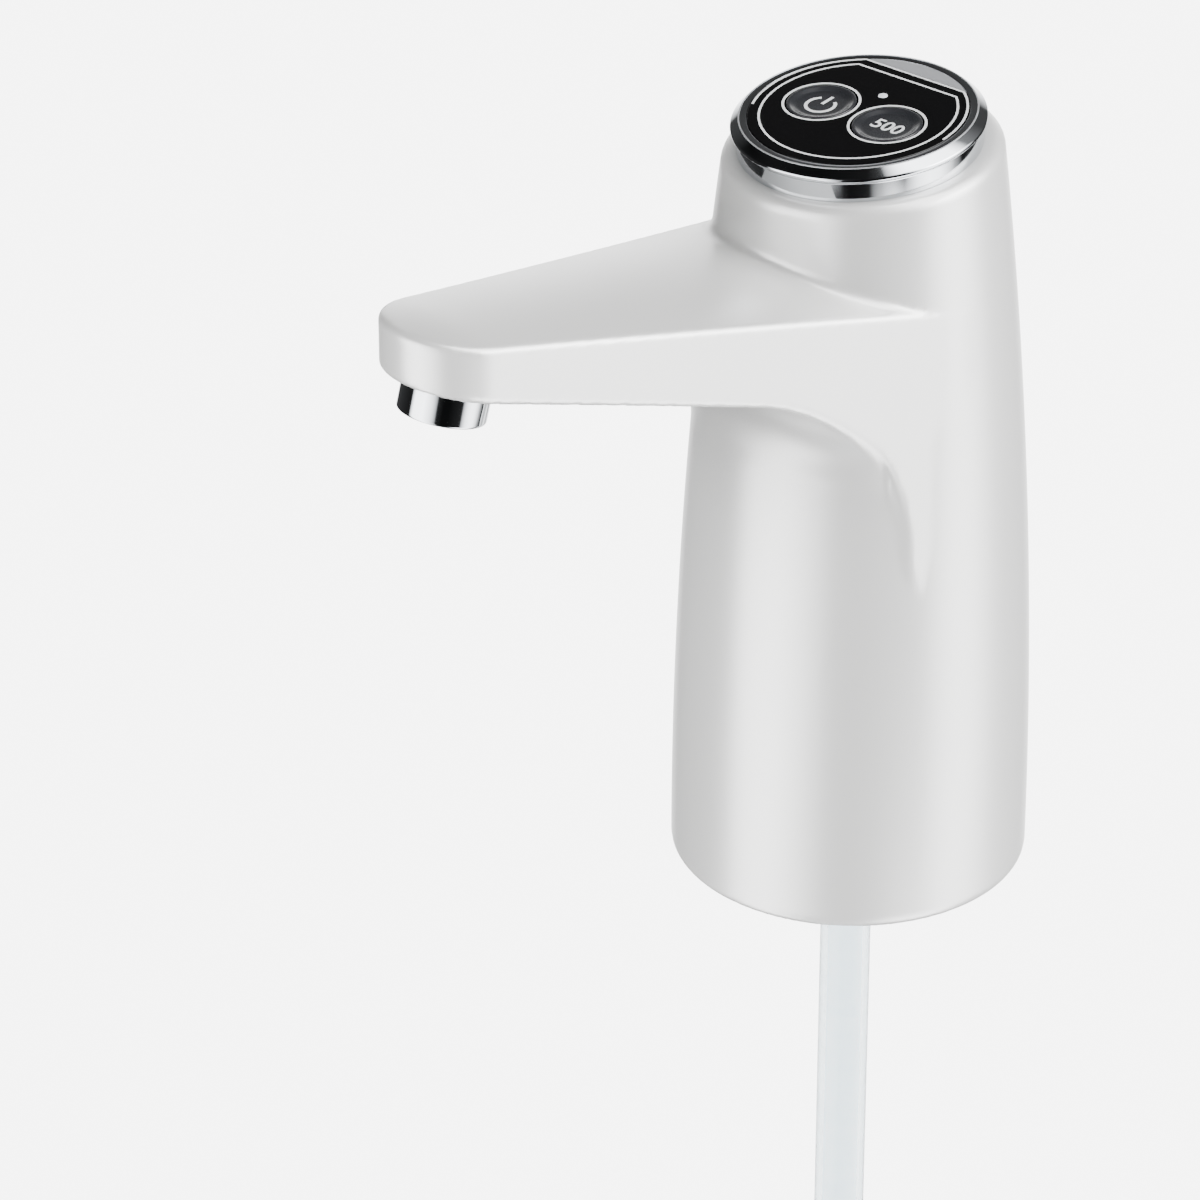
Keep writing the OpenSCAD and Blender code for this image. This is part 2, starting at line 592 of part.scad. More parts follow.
module pump_gear(bore) difference() {
    linear_extrude(height = gear_h) polygon(tooth_points);
    translate([0, 0, -1]) cylinder(r = bore, h = gear_h + 2);
}
module drive_gear() color(white) at_motor(gear_z + gear_gap) pump_gear(shaft_r);
module driven_gear() color(white) translate([-pitch_r, -gear_line_y, gear_z + gear_gap])
    rotate(180 / gear_teeth) pump_gear(idler_r + shaft_fit);

module idler_pin() color(steel) translate([-pitch_r, -gear_line_y, deck_z + 1])
    cylinder(r = idler_r, h = gear_z + 10 - deck_z - 1);

// Hose barb below the deck, flange, and the stub that feeds the pump's cover
module inlet_fitting() color(white) difference() {
    rotate_extrude() polygon([[0, 11], [2.7, 11], [3.2, 13], [2.9, 13], [3.2, 16], [2.9, 16], [3.2, 19],
        [2.9, 19], [2.9, neck_depth - 2], [7, neck_depth - 2], [7, neck_depth], [3.5, neck_depth],
        [3.5, deck_z], [3.2, deck_z], [3.2, deck_z + 1.2], [0, deck_z + 1.2]]);
    translate([0, 0, 9]) cylinder(r = 2, h = deck_z);
}

// The hose hangs from the barb and its low end lies in a loose curve
hose_path = smooth([[0, 0, 24.5], [0, 0, -20], [0, 0, -80], [0, 0, -140], [0, 0, -190], [0, -3, -220],
    [0, -14, -247], [0, -33, -267], [0, -57, -278], [4, -82, -280], [16, -104, -280], [37, -117, -280],
    [61, -116, -280], [82, -103, -280], [94, -82, -280]], 4);
module suction_hose() color(clear) tube_along(hose_path, hose_r, hose_bore_r, 12);

// The outlet tube climbs beside the motor, bends into the arm and follows its underside to the elbow
elbow_axis = 5;
elbow_len = 18;
elbow_seat = 2.2;
elbow_gap = 0.64;
elbow_top = (top_at(nozzle_reach) - under_at(nozzle_reach) - arm_wall) * cos(arm_under_slope) - elbow_gap;
nozzle_bore_r = 2.4;
insert_r = 5.4;
seal_r = nozzle_r - 0.4;
seal_t = 1.2;
tube_stop = 13.5;
tube_from = 38;
tube_bend = [[0, 0, -8.4], [0.1, -0.4, -2.4], [0.7, -1.8, 3.6], [1.7, -5.4, 9.2], [2.9, -11.6, 13.4]];
tube_climb = [for (p = tube_bend) [riser[0], riser[1], arm_under_z] + p];
tube_run = [for (f = [0, 0.22, 0.46, 0.73, 1]) let(u = tube_from + f * (nozzle_reach - tube_stop - tube_from))
    [-3.2 * pow(1 - f, 1.5), -u, under_at(u) + 5.6 - 0.42 * f]];
tube_path = smooth(concat([[riser[0], riser[1], pump_top + 1]], tube_climb, tube_run), 3);
module outlet_tube() color(clear) tube_along(tube_path, tube_r, tube_bore_r, 12);

module spout_elbow() color(white) at_nozzle() difference() {
    union() {
        translate([0, 0, elbow_seat]) cylinder(r = nozzle_neck_r + 0.2, h = elbow_top - elbow_seat);
        translate([0, 0, elbow_axis]) rotate([-90, 0, 0]) cylinder(r = spigot_r, h = elbow_len);
    }
    translate([0, 0, elbow_seat - 1.2]) cylinder(r = nozzle_bore_r, h = elbow_top - elbow_seat);
    translate([0, 0, elbow_axis]) rotate([-90, 0, 0]) cylinder(r = spigot_bore_r + 0.1, h = elbow_len + 2);
}

module nozzle() color(chrome) at_nozzle() difference() {
    rotate_extrude() polygon([[0, elbow_seat], [nozzle_neck_r - 0.05, elbow_seat],
        [nozzle_neck_r - 0.05, -seal_t], [seal_r, -seal_t], [seal_r, 0], [nozzle_r, -0.1],
        [nozzle_r, 1.2 - nozzle_h], [nozzle_r - 0.4, 0.4 - nozzle_h],
        [nozzle_r - 1.2, -nozzle_h], [0, -nozzle_h]]);
    translate([0, 0, -nozzle_h - 1]) cylinder(r = insert_r, h = 4.4);
    translate([0, 0, -nozzle_h - 1]) cylinder(r = nozzle_bore_r, h = nozzle_h + 6);
}

module nozzle_insert() color(white) at_nozzle() translate([0, 0, -nozzle_h + 1]) difference() {
    cylinder(r = insert_r, h = 2.4);
    translate([0, 0, -1]) cylinder(r = 0.9, h = 5);
    for (a = [0 : 60 : 300]) rotate(a) translate([2.9, 0, -1]) cylinder(r = 0.9, h = 5);
}

module nozzle_seal() color(dark) at_nozzle() translate([0, 0, -seal_t]) ring(seal_r, nozzle_neck_r, seal_t);

body_shell();
neck_socket();
neck_gasket();
base_screws();
inner_frame();
bezel_ring();
retaining_ring();
control_panel();
power_button();
volume_button();
power_plunger();
volume_plunger();
indicator_lens();
status_led();
control_board();
tact_switches();
board_screws();
battery_cell();
battery_cradle();
charge_board();
charge_port();
motor_can();
motor_magnets();
motor_rotor();
motor_end_cap();
motor_terminals();
pump_body();
pump_cover();
pump_screws();
shaft_seal();
drive_gear();
driven_gear();
idler_pin();
inlet_fitting();
suction_hose();
outlet_tube();
spout_elbow();
nozzle();
nozzle_insert();
nozzle_seal();
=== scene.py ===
"""Looks of an electric water jug pump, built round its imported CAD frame.

Blender works in metres; the sizes below are in millimetres, as in the part's
source, and become metres when a mesh is made. The base rim is at z = 0 and the
spout points to -Y.
"""
import json
import math

import bmesh
import bpy
import numpy as np
from mathutils import Matrix, Vector


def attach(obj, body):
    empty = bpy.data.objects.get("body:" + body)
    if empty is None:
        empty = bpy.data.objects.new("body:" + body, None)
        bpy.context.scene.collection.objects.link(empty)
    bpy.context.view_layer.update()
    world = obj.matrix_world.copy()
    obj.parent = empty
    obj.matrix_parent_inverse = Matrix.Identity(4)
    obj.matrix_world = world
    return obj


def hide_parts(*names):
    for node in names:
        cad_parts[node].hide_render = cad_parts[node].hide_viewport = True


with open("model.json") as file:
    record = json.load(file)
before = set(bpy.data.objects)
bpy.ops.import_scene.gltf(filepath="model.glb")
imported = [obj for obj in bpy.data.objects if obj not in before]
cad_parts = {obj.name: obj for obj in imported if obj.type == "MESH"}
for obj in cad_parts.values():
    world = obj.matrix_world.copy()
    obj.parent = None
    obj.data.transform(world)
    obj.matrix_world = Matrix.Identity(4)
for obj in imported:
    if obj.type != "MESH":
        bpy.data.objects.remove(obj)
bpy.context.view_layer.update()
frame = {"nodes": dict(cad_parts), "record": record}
MM = 0.001

# Column, in millimetres
BASE_R = 33.0
SIDE_CURVE_R = 1143.0
SIDE_START_Z = 5.0
FOOT_ROUND = 2.0
LIP_ROUND = 2.3
WALL = 2.2
SLEEVE_R = 30.5
CAVITY_Z = 31.0
NECK_DEPTH = 27.0

# Spout arm
ARM_REACH = 90.7
TIP_R = 13.0
ARM_TOP_Z = 120.2
ARM_TOP_SLOPE = math.radians(9.65)
ARM_UNDER_Z = 100.4
ARM_UNDER_SLOPE = math.radians(15)
UNDER_BLEND = 18.5
ARCH_R = 33.0
ARCH_BACK = 13.3
ARM_CROWN_R = 62.0
ARM_EDGE_R = 1.3
UNDER_EDGE_R = 1.1
WING_HIGH, WING_LOW = 78.0, 50.0
WING_SINK = 0.6
WING_EDGE_GROWTH = 6.0
ARCH_FILLET = 2.0
ARM_PROUD = 0.3
ARM_BACK_END = -6.0
ROOT_FILLET = 1.8
ARCH_Z = (ARM_UNDER_Z + (ARCH_BACK + ARCH_R) * math.tan(ARM_UNDER_SLOPE)
          - ARCH_R / math.cos(ARM_UNDER_SLOPE))

# Tilted control top
TOP_TILT = math.radians(5.8)
LIP_Z = 142.5
LIP_SHIFT = 1.0
BEZEL_R = 22.6
BEZEL_H = 6.2
RIM_Z = 4.5
PANEL_TURN = math.radians(8.5)
PANEL_R = 19.5
PANEL_FLAT = 15.9
PANEL_T = 1.6
BUTTON_X = 7.5
BUTTON_Y = -1.1
BUTTON_R = 6.2
BUTTON_GAP = 0.3
LED_Y = 6.7
LENS_R = 0.9
LENS_LOW = 1.6

# Charging socket in the back, and the base screws' places
PORT_Z = 114.0
PORT_W = 8.9
PORT_H = 3.2
PORT_FLOOR_Y = 19.1
SCREW_PLACES = [(20, 10), (-20, -2), (11.6, -20)]

# Nozzle and hose
NOZZLE_REACH = 92.5
NOZZLE_R = 7.8
NOZZLE_H = 6.2
NOZZLE_NECK_R = 6.0
NOZZLE_BORE_R = 2.4
NOZZLE_MOUTH_R = 5.4
NOZZLE_STEM_R = 5.95
NOZZLE_STEM_TOP = 2.2
SEAT_R, SEAT_DEPTH = 7.4, 1.2
INSERT_DEPTH = 2.8
HOSE_R = 4.75
HOSE_BORE_R = 3.3
HOSE_ROUTE = [
    (0, 0, 24.5), (0, 0, -20), (0, 0, -80), (0, 0, -140), (0, 0, -190), (0, -3, -220),
    (0, -14, -247), (0, -33, -267), (0, -57, -278), (4, -82, -280), (16, -104, -280),
    (37, -117, -280), (61, -116, -280), (82, -103, -280), (94, -82, -280),
]
FLOOR_Z = -280 - HOSE_R

AT_TOP = Matrix.Translation((0, -LIP_SHIFT, LIP_Z)) @ Matrix.Rotation(TOP_TILT, 4, "X")
AT_PANEL = AT_TOP @ Matrix.Rotation(PANEL_TURN, 4, "Z")
NOZZLE_UNDER = ARM_UNDER_Z + NOZZLE_REACH * math.tan(ARM_UNDER_SLOPE)
AT_NOZZLE = (Matrix.Translation((0, -NOZZLE_REACH, NOZZLE_UNDER))
             @ Matrix.Rotation(-ARM_UNDER_SLOPE, 4, "X"))


# Materials

def linear(hex_colour):
    """An sRGB hex colour as linear RGBA."""
    channels = [int(hex_colour[i:i + 2], 16) / 255 for i in (1, 3, 5)]
    return [c / 12.92 if c <= 0.04045 else ((c + 0.055) / 1.055) ** 2.4 for c in channels] + [1.0]


def add(tree, kind, inputs=None, **settings):
    """Adds a node with its settings; an input is a value or a socket to link from."""
    node = tree.nodes.new(kind)
    for name, value in settings.items():
        setattr(node, name, value)
    for name, value in (inputs or {}).items():
        if isinstance(value, bpy.types.NodeSocket):
            tree.links.new(value, node.inputs[name])
        else:
            node.inputs[name].default_value = value
    return node


# Where a Mix node keeps its colour sockets, which share their names with its other kinds
MIX_FIRST, MIX_SECOND, MIX_RESULT = 6, 7, 2


def per_mm(size_mm):
    """Texture scale that makes a feature of that size, on coordinates in metres."""
    return 1.0 / (size_mm * MM)


def mixed(tree, factor, first, second):
    """Two colours, each a hex colour or a socket, mixed by a socket."""
    node = add(tree, "ShaderNodeMix", {"Factor": factor}, data_type="RGBA")
    for place, colour in ((MIX_FIRST, first), (MIX_SECOND, second)):
        if isinstance(colour, str):
            node.inputs[place].default_value = linear(colour)
        else:
            tree.links.new(colour, node.inputs[place])
    return node.outputs[MIX_RESULT]


def surface(name, **sockets):
    """A material with one Principled shader; returns it, its tree and the shader."""
    material = bpy.data.materials.new(name)
    material.use_nodes = True
    tree = material.node_tree
    shader = tree.nodes["Principled BSDF"]
    for socket, value in sockets.items():
        shader.inputs[socket.replace("_", " ")].default_value = value
    return material, tree, shader


# Painted shade: how far up it looks for cover, how much more it looks up than outward, and
# the openness at which the painted shade is full and gone
PAINTED_SHADE_REACH = 60.0
PAINTED_SHADE_LIFT = (0, 0, 1.5)
PAINTED_SHADE_FULL, PAINTED_SHADE_GONE = 0.2, 0.67


def moulded(name, colour, shade, roughness, ior, peel_mm, peel_depth_mm, swing=0.06, pearl=0.0,
            painted_shade=None):
    """Moulded plastic or rubber: a faint cloud in its colour and gloss over a fine moulded peel.

    A painted_shade colour is painted shade: it darkens the places that something a few centimetres
    above keeps in its shade.
    """
    material, tree, shader = surface(name, IOR=ior, Metallic=pearl)
    place = add(tree, "ShaderNodeTexCoord").outputs["Object"]
    cloud = add(tree, "ShaderNodeTexNoise", {"Vector": place, "Scale": per_mm(38), "Detail": 3.0})
    colour_out = mixed(tree, cloud.outputs["Fac"], colour, shade)
    if painted_shade:
        # Painted shade: the colour goes grey where something above covers the surface, as if in its
        # shade
        facing = add(tree, "ShaderNodeNewGeometry").outputs["Normal"]
        raised = add(tree, "ShaderNodeVectorMath", {0: facing, 1: PAINTED_SHADE_LIFT}, operation="ADD")
        upward = add(tree, "ShaderNodeVectorMath", {0: raised.outputs["Vector"]},
                     operation="NORMALIZE")
        above = add(tree, "ShaderNodeAmbientOcclusion", {
            "Distance": PAINTED_SHADE_REACH * MM, "Normal": upward.outputs["Vector"]}, samples=6)
        openness = add(tree, "ShaderNodeMapRange", {
            "Value": above.outputs["AO"], "From Min": PAINTED_SHADE_FULL, "From Max": PAINTED_SHADE_GONE})
        colour_out = mixed(tree, openness.outputs["Result"], painted_shade, colour_out)
    tree.links.new(colour_out, shader.inputs["Base Color"])
    gloss = add(tree, "ShaderNodeMapRange", {
        "Value": cloud.outputs["Fac"], "To Min": roughness - swing, "To Max": roughness + swing})
    tree.links.new(gloss.outputs["Result"], shader.inputs["Roughness"])
    peel = add(tree, "ShaderNodeTexNoise", {
        "Vector": place, "Scale": per_mm(peel_mm), "Detail": 2.0})
    bump = add(tree, "ShaderNodeBump", {
        "Height": peel.outputs["Fac"], "Strength": 0.25, "Distance": peel_depth_mm * MM})
    tree.links.new(bump.outputs["Normal"], shader.inputs["Normal"])
    return material


def plated(name, colour, roughness, smear_mm, stretch):
    """Polished or brushed metal: fine smears that run round or along it change its gloss."""
    material, tree, shader = surface(name, Metallic=1.0, Base_Color=linear(colour))
    place = add(tree, "ShaderNodeTexCoord").outputs["Object"]
    run = add(tree, "ShaderNodeMapping", {"Vector": place, "Scale": stretch})
    smear = add(tree, "ShaderNodeTexNoise", {
        "Vector": run.outputs["Vector"], "Scale": per_mm(smear_mm), "Detail": 4.0})
    gloss = add(tree, "ShaderNodeMapRange", {
        "Value": smear.outputs["Fac"], "To Min": roughness * 0.6, "To Max": roughness * 1.5})
    tree.links.new(gloss.outputs["Result"], shader.inputs["Roughness"])
    return material


# Pearl-white ABS from a polished mould: mica gives broad, soft metallic highlights; the grey it
# takes under the arm and in creases is painted shade
pearl_abs = moulded("pearl_white_abs", "#F3F3F2", "#EEEEED", 0.3, 1.53, 1.4, 0.003, swing=0.03,
                    pearl=0.4, painted_shade="#A2A2A2")
# Polypropylene for the hidden white pieces: duller and a little warmer
white_pp = moulded("moulded_white_polypropylene", "#EDECE8", "#E4E3DE", 0.45, 1.49, 0.9, 0.01)
# Bright chrome over nickel: a mirror with a trace of handling
chrome = plated("bright_chrome_plate", "#D3D6DA", 0.07, 9.0, (1, 1, 1))
# Satin silver lacquer: fine flake that stays grey where bright metal would go black
satin_silver = moulded("satin_silver_lacquer", "#C4C6C9", "#B4B6BA", 0.36, 1.5, 0.25, 0.003,
                       pearl=0.55)
# Back-printed acrylic: deep black under a clear, very smooth face
black_acrylic = moulded("back_printed_black_acrylic", "#050506", "#030304", 0.09, 1.49, 6.0, 0.001,
                        swing=0.03)
# Button caps: dark grey polycarbonate, a little softer than the panel
dark_cap = moulded("dark_polycarbonate", "#2B2C2F", "#232427", 0.24, 1.58, 0.8, 0.002, swing=0.04)
# Screen-printed white ink: flat and slightly raised
white_ink = moulded("screen_printed_white_ink", "#F2F3F4", "#E6E7E9", 0.5, 1.5, 0.3, 0.004)
# Milky acrylic of the light pipe
milky_lens = moulded("milky_acrylic", "#FBFCFF", "#F2F5FA", 0.22, 1.49, 0.7, 0.002)
# Black nitrile rubber: matt with a dusty bloom
black_rubber = moulded("black_nitrile_rubber", "#1A1A1A", "#242423", 0.75, 1.52, 0.5, 0.02)
# Glass-filled nylon: grey, with a coarse moulded grain
grey_nylon = moulded("glass_filled_nylon", "#BDBDB8", "#AFAFAA", 0.55, 1.53, 0.6, 0.02)
black_nylon = moulded("black_nylon", "#141416", "#1C1C1F", 0.5, 1.53, 0.6, 0.02)
# Solder mask: glossy green with a faint weave of the board below
solder_mask = moulded("green_solder_mask", "#0F4A2C", "#0B3B23", 0.3, 1.5, 0.5, 0.01)
# Shrink sleeve of the cell
cell_sleeve = moulded("blue_shrink_sleeve", "#2B5E9E", "#244F86", 0.35, 1.54, 1.2, 0.01)
steel = plated("zinc_plated_steel", "#A9ACB0", 0.3, 0.6, (1, 1, 0.1))
brass = plated("sheet_brass", "#B89A55", 0.3, 0.6, (1, 1, 0.2))
magnet = moulded("sintered_ferrite", "#262728", "#1E1F20", 0.7, 1.6, 0.4, 0.02)


def clear_silicone_rubber():
    """Food-grade silicone: almost clear, with long streaks from the extruder along the hose."""
    material, tree, shader = surface("extruded_clear_silicone", IOR=1.41, Transmission_Weight=0.9)
    along = add(tree, "ShaderNodeTexCoord").outputs["UV"]
    stretched = add(tree, "ShaderNodeMapping", {"Vector": along, "Scale": (1.0, 40.0, 1.0)})
    streak = add(tree, "ShaderNodeTexNoise", {"Vector": stretched.outputs["Vector"], "Scale": 1.0})
    tint = mixed(tree, streak.outputs["Fac"], "#E3EAED", "#D3DDE1")
    tree.links.new(tint, shader.inputs["Base Color"])
    gloss = add(tree, "ShaderNodeMapRange", {
        "Value": streak.outputs["Fac"], "To Min": 0.08, "To Max": 0.2})
    tree.links.new(gloss.outputs["Result"], shader.inputs["Roughness"])
    return material


silicone = clear_silicone_rubber()

SLOT_FINISH = {
    "white_shell": pearl_abs, "white_plastic": white_pp, "chrome": chrome,
    "panel_gloss": black_acrylic, "button_dark": dark_cap, "lens_clear": milky_lens,
    "black_rubber": black_rubber, "clear_silicone": silicone, "black_plastic": black_nylon,
    "pump_plastic": grey_nylon, "steel": steel, "magnet": magnet, "brass_tab": brass,
    "circuit_board": solder_mask, "cell_wrap": cell_sleeve,
}
for part in frame["record"]["subparts"]:
    node = frame["nodes"][part["node"]]
    node.data.materials.clear()
    node.data.materials.append(SLOT_FINISH[part["material_slot"]])


# Mesh making

def in_scene(name, data):
    """A new object in the scene."""
    obj = bpy.data.objects.new(name, data)
    bpy.context.scene.collection.objects.link(obj)
    return obj


def piece(name, mesh, finish, body, slot, *nodes):
    """A finished piece at the origin, riding on a body and standing for CAD nodes."""
    obj = in_scene(name, mesh)
    mesh.materials.clear()
    mesh.materials.append(finish)
    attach(obj, body)
    if nodes:
        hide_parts(*nodes)
    return obj


def shade_smooth(mesh, sharp_degrees=35):
    mesh.polygons.foreach_set("use_smooth", [True] * len(mesh.polygons))
    mesh.set_sharp_from_angle(angle=math.radians(sharp_degrees))


def softened(corners, steps=5):
    """A profile with its corners rounded; each corner is (radius, height, rounding)."""
    out = []
    count = len(corners)
    for i, (r, z, rounding) in enumerate(corners):
        here = Vector((r, z))
        if rounding == 0:
            out.append(here)
            continue
        before = Vector(corners[i - 1][:2]) - here
        after = Vector(corners[(i + 1) % count][:2]) - here
        reach = min(rounding, before.length * 0.49, after.length * 0.49)
        start, end = here + before.normalized() * reach, here + after.normalized() * reach
        for k in range(steps + 1):
            t = k / steps
            out.append(start * (1 - t) ** 2 + here * 2 * t * (1 - t) + end * t ** 2)
    return out


def turned(name, corners, place, segments=160):
    """A solid of revolution from a closed profile, about the local Z axis of place."""
    profile = softened(corners)
    bm = bmesh.new()
    rings = []
    for point in profile:
        if point.x < 1e-6:
            rings.append([bm.verts.new((0, 0, point.y))])
        else:
            rings.append([bm.verts.new((point.x * math.cos(a), point.x * math.sin(a), point.y))
                          for a in (2 * math.pi * k / segments for k in range(segments))])
    for ring, following in zip(rings, rings[1:] + rings[:1]):
        for k in range(segments):
            corner = [ring[k % len(ring)], ring[(k + 1) % len(ring)],
                      following[(k + 1) % len(following)], following[k % len(following)]]
            unique = list(dict.fromkeys(corner))
            if len(unique) > 2:
                bm.faces.new(unique)
    bmesh.ops.recalc_face_normals(bm, faces=bm.faces)
    bm.transform(Matrix.Scale(MM, 4) @ place)
    mesh = bpy.data.meshes.new(name)
    bm.to_mesh(mesh)
    bm.free()
    shade_smooth(mesh)
    return mesh


# Degrees; small, so that a plate's narrow bevel doesn't bend the light on its face
FLAT_SHARP = 6


def flat_shape(name, loops, low, high, place, bevel=0.0):
    """A plate between two heights from closed outlines; an outline inside another is a hole."""
    curve = bpy.data.curves.new(name, "CURVE")
    curve.dimensions = "2D"
    curve.fill_mode = "BOTH"
    curve.extrude = (high - low) / 2 - bevel
    curve.bevel_depth = bevel
    curve.bevel_resolution = 2
    curve.offset = -bevel
    for loop in loops:
        spline = curve.splines.new("POLY")
        spline.points.add(len(loop) - 1)
        spline.use_cyclic_u = True
        for point, (x, y) in zip(spline.points, loop):
            point.co = (x, y, 0, 1)
    holder = in_scene(name, curve)
    mesh = as_mesh(holder, FLAT_SHARP)
    mesh.transform(Matrix.Scale(MM, 4) @ place @ Matrix.Translation((0, 0, (low + high) / 2)))
    return mesh


def as_mesh(holder, sharp_degrees=35):
    """The evaluated shape of an object as a plain mesh; the object goes."""
    graph = bpy.context.evaluated_depsgraph_get()
    mesh = bpy.data.meshes.new_from_object(holder.evaluated_get(graph))
    bpy.data.objects.remove(holder)
    bm = bmesh.new()
    bm.from_mesh(mesh)
    bmesh.ops.remove_doubles(bm, verts=bm.verts, dist=1e-6)
    bmesh.ops.recalc_face_normals(bm, faces=bm.faces)
    bm.to_mesh(mesh)
    bm.free()
    shade_smooth(mesh, sharp_degrees)
    return mesh


def arc(radius, start, sweep, count, x=0.0, y=0.0):
    """Points along an arc round (x, y), both ends included."""
    angles = [start + sweep * k / count for k in range(count + 1)]
    return [(x + radius * math.cos(a), y + radius * math.sin(a)) for a in angles]


def circle(radius, x=0.0, y=0.0, count=96):
    return arc(radius, 0.0, 2 * math.pi, count, x, y)[:-1]


def d_outline(radius, flat, count=120):
    """A circle with its back cut off straight."""
    start = math.pi - math.asin(flat / radius)
    sweep = math.pi + 2 * math.asin(flat / radius)
    return arc(radius, start, sweep, count)


def smooth_route(route, steps):
    """The part's own curve through the hose's points."""
    p = [np.array(q, float) for q in route]
    out = []
    for i in range(len(p) - 1):
        a, b, c, d = p[max(i - 1, 0)], p[i], p[i + 1], p[min(i + 2, len(p) - 1)]
        for t in np.arange(steps) / steps:
            out.append(0.5 * (2 * b + (c - a) * t + (2 * a - 5 * b + 4 * c - d) * t ** 2
                              + (3 * b - a - 3 * c + d) * t ** 3))
    return out + [p[-1]]


# Housing: one soft form from distances to its faces

def round_meet(a, b, radius):
    """Distance to where two forms overlap, with a rounded edge."""
    return (np.minimum(-radius, np.maximum(a, b))
            + np.hypot(np.maximum(radius + a, 0), np.maximum(radius + b, 0)))


def round_join(a, b, radius):
    """Distance to two forms together, with a fillet between them."""
    return (np.maximum(radius, np.minimum(a, b))
            - np.hypot(np.maximum(radius - a, 0), np.maximum(radius - b, 0)))


def ramp(value, low, high):
    t = np.clip((value - low) / (high - low), 0, 1)
    return t * t * (3 - 2 * t)


def housing_distance(x, y, z):
    """Signed distance, in millimetres, to the housing's outside."""
    out = -y
    radius = BASE_R - np.maximum(z - SIDE_START_Z, 0) ** 2 / (2 * SIDE_CURVE_R)
    from_axis = np.hypot(x, y)
    lip = (y + LIP_SHIFT) * -math.sin(TOP_TILT) + (z - LIP_Z) * math.cos(TOP_TILT)
    column = round_meet(round_meet(from_axis - radius, lip, LIP_ROUND), -z, FOOT_ROUND)

    # How far the low end of the arm's sides has died out
    faded = ramp(WING_HIGH - z, 0, WING_HIGH - WING_LOW)
    # The arm's plan: straight sides that leave the column as tangents and end in a round tip
    side = np.abs(x)
    proud = ARM_PROUD * ramp(out, ARM_BACK_END, 5) * ramp(z, 95, 110)
    root = radius - 0.1 + proud - WING_SINK * faded
    lean = (root - TIP_R) / ARM_REACH
    square = np.sqrt(1 - lean ** 2)
    along = square * out - lean * side
    plan = np.where(along < 0, from_axis - root, side * square + out * lean - root)
    plan = np.where(along > square * ARM_REACH, np.hypot(side, out - ARM_REACH) - TIP_R, plan)
    # Its crowned top
    reach = np.maximum(out - ARM_REACH, 0)
    round_half = np.sqrt(np.maximum(TIP_R ** 2 - reach ** 2, 0))
    half = np.where(reach > 0, round_half, (root - out * lean) / square)
    crown = np.maximum((half - ARM_EDGE_R) ** 2 - x ** 2, 0) / (2 * ARM_CROWN_R)
    top = (z - ARM_TOP_Z - out * math.tan(ARM_TOP_SLOPE) - crown) * math.cos(ARM_TOP_SLOPE)
    # Its underside: straight, then an arch down the sides and a wide blend into the column
    # between them; lower down the sides' edge grows round and dies out
    stand_off = np.hypot(root, np.maximum(out - lean * root, 0) / square) - root
    below = (ARM_UNDER_Z + out * math.tan(ARM_UNDER_SLOPE) - z) * math.cos(ARM_UNDER_SLOPE)
    du, dz = out - ARCH_BACK - ARCH_R, z - ARCH_Z
    arch = np.where(dz < 0, ARCH_R + du, ARCH_R - np.hypot(du, dz))
    past = du * math.cos(ARM_UNDER_SLOPE) + dz * math.sin(ARM_UNDER_SLOPE) > 0
    fillet = np.clip(1.2 * stand_off, 0.2, ARCH_FILLET)
    wing = round_join(column, np.where(past, below, arch), fillet)
    under = np.minimum(round_join(column, below, UNDER_BLEND), wing)
    under_edge = UNDER_EDGE_R + WING_EDGE_GROWTH * faded
    arm = round_meet(round_meet(plan, top, ARM_EDGE_R), under, under_edge)
    arm = np.maximum(np.maximum(arm, ARM_BACK_END - out), WING_LOW - 2 - z)

    # A fillet over the arm's root, none along the tangent sides
    return round_join(column, arm, 0.04 + ROOT_FILLET * ramp(out, 9, 15) * ramp(z, 110, 116))


def room_distance(x, y, z):
    """Signed distance to the room inside the housing."""
    return np.maximum(housing_distance(x, y, z) + WALL, CAVITY_Z - z)


SETTLE_PASSES = 5
PROBE = 0.02


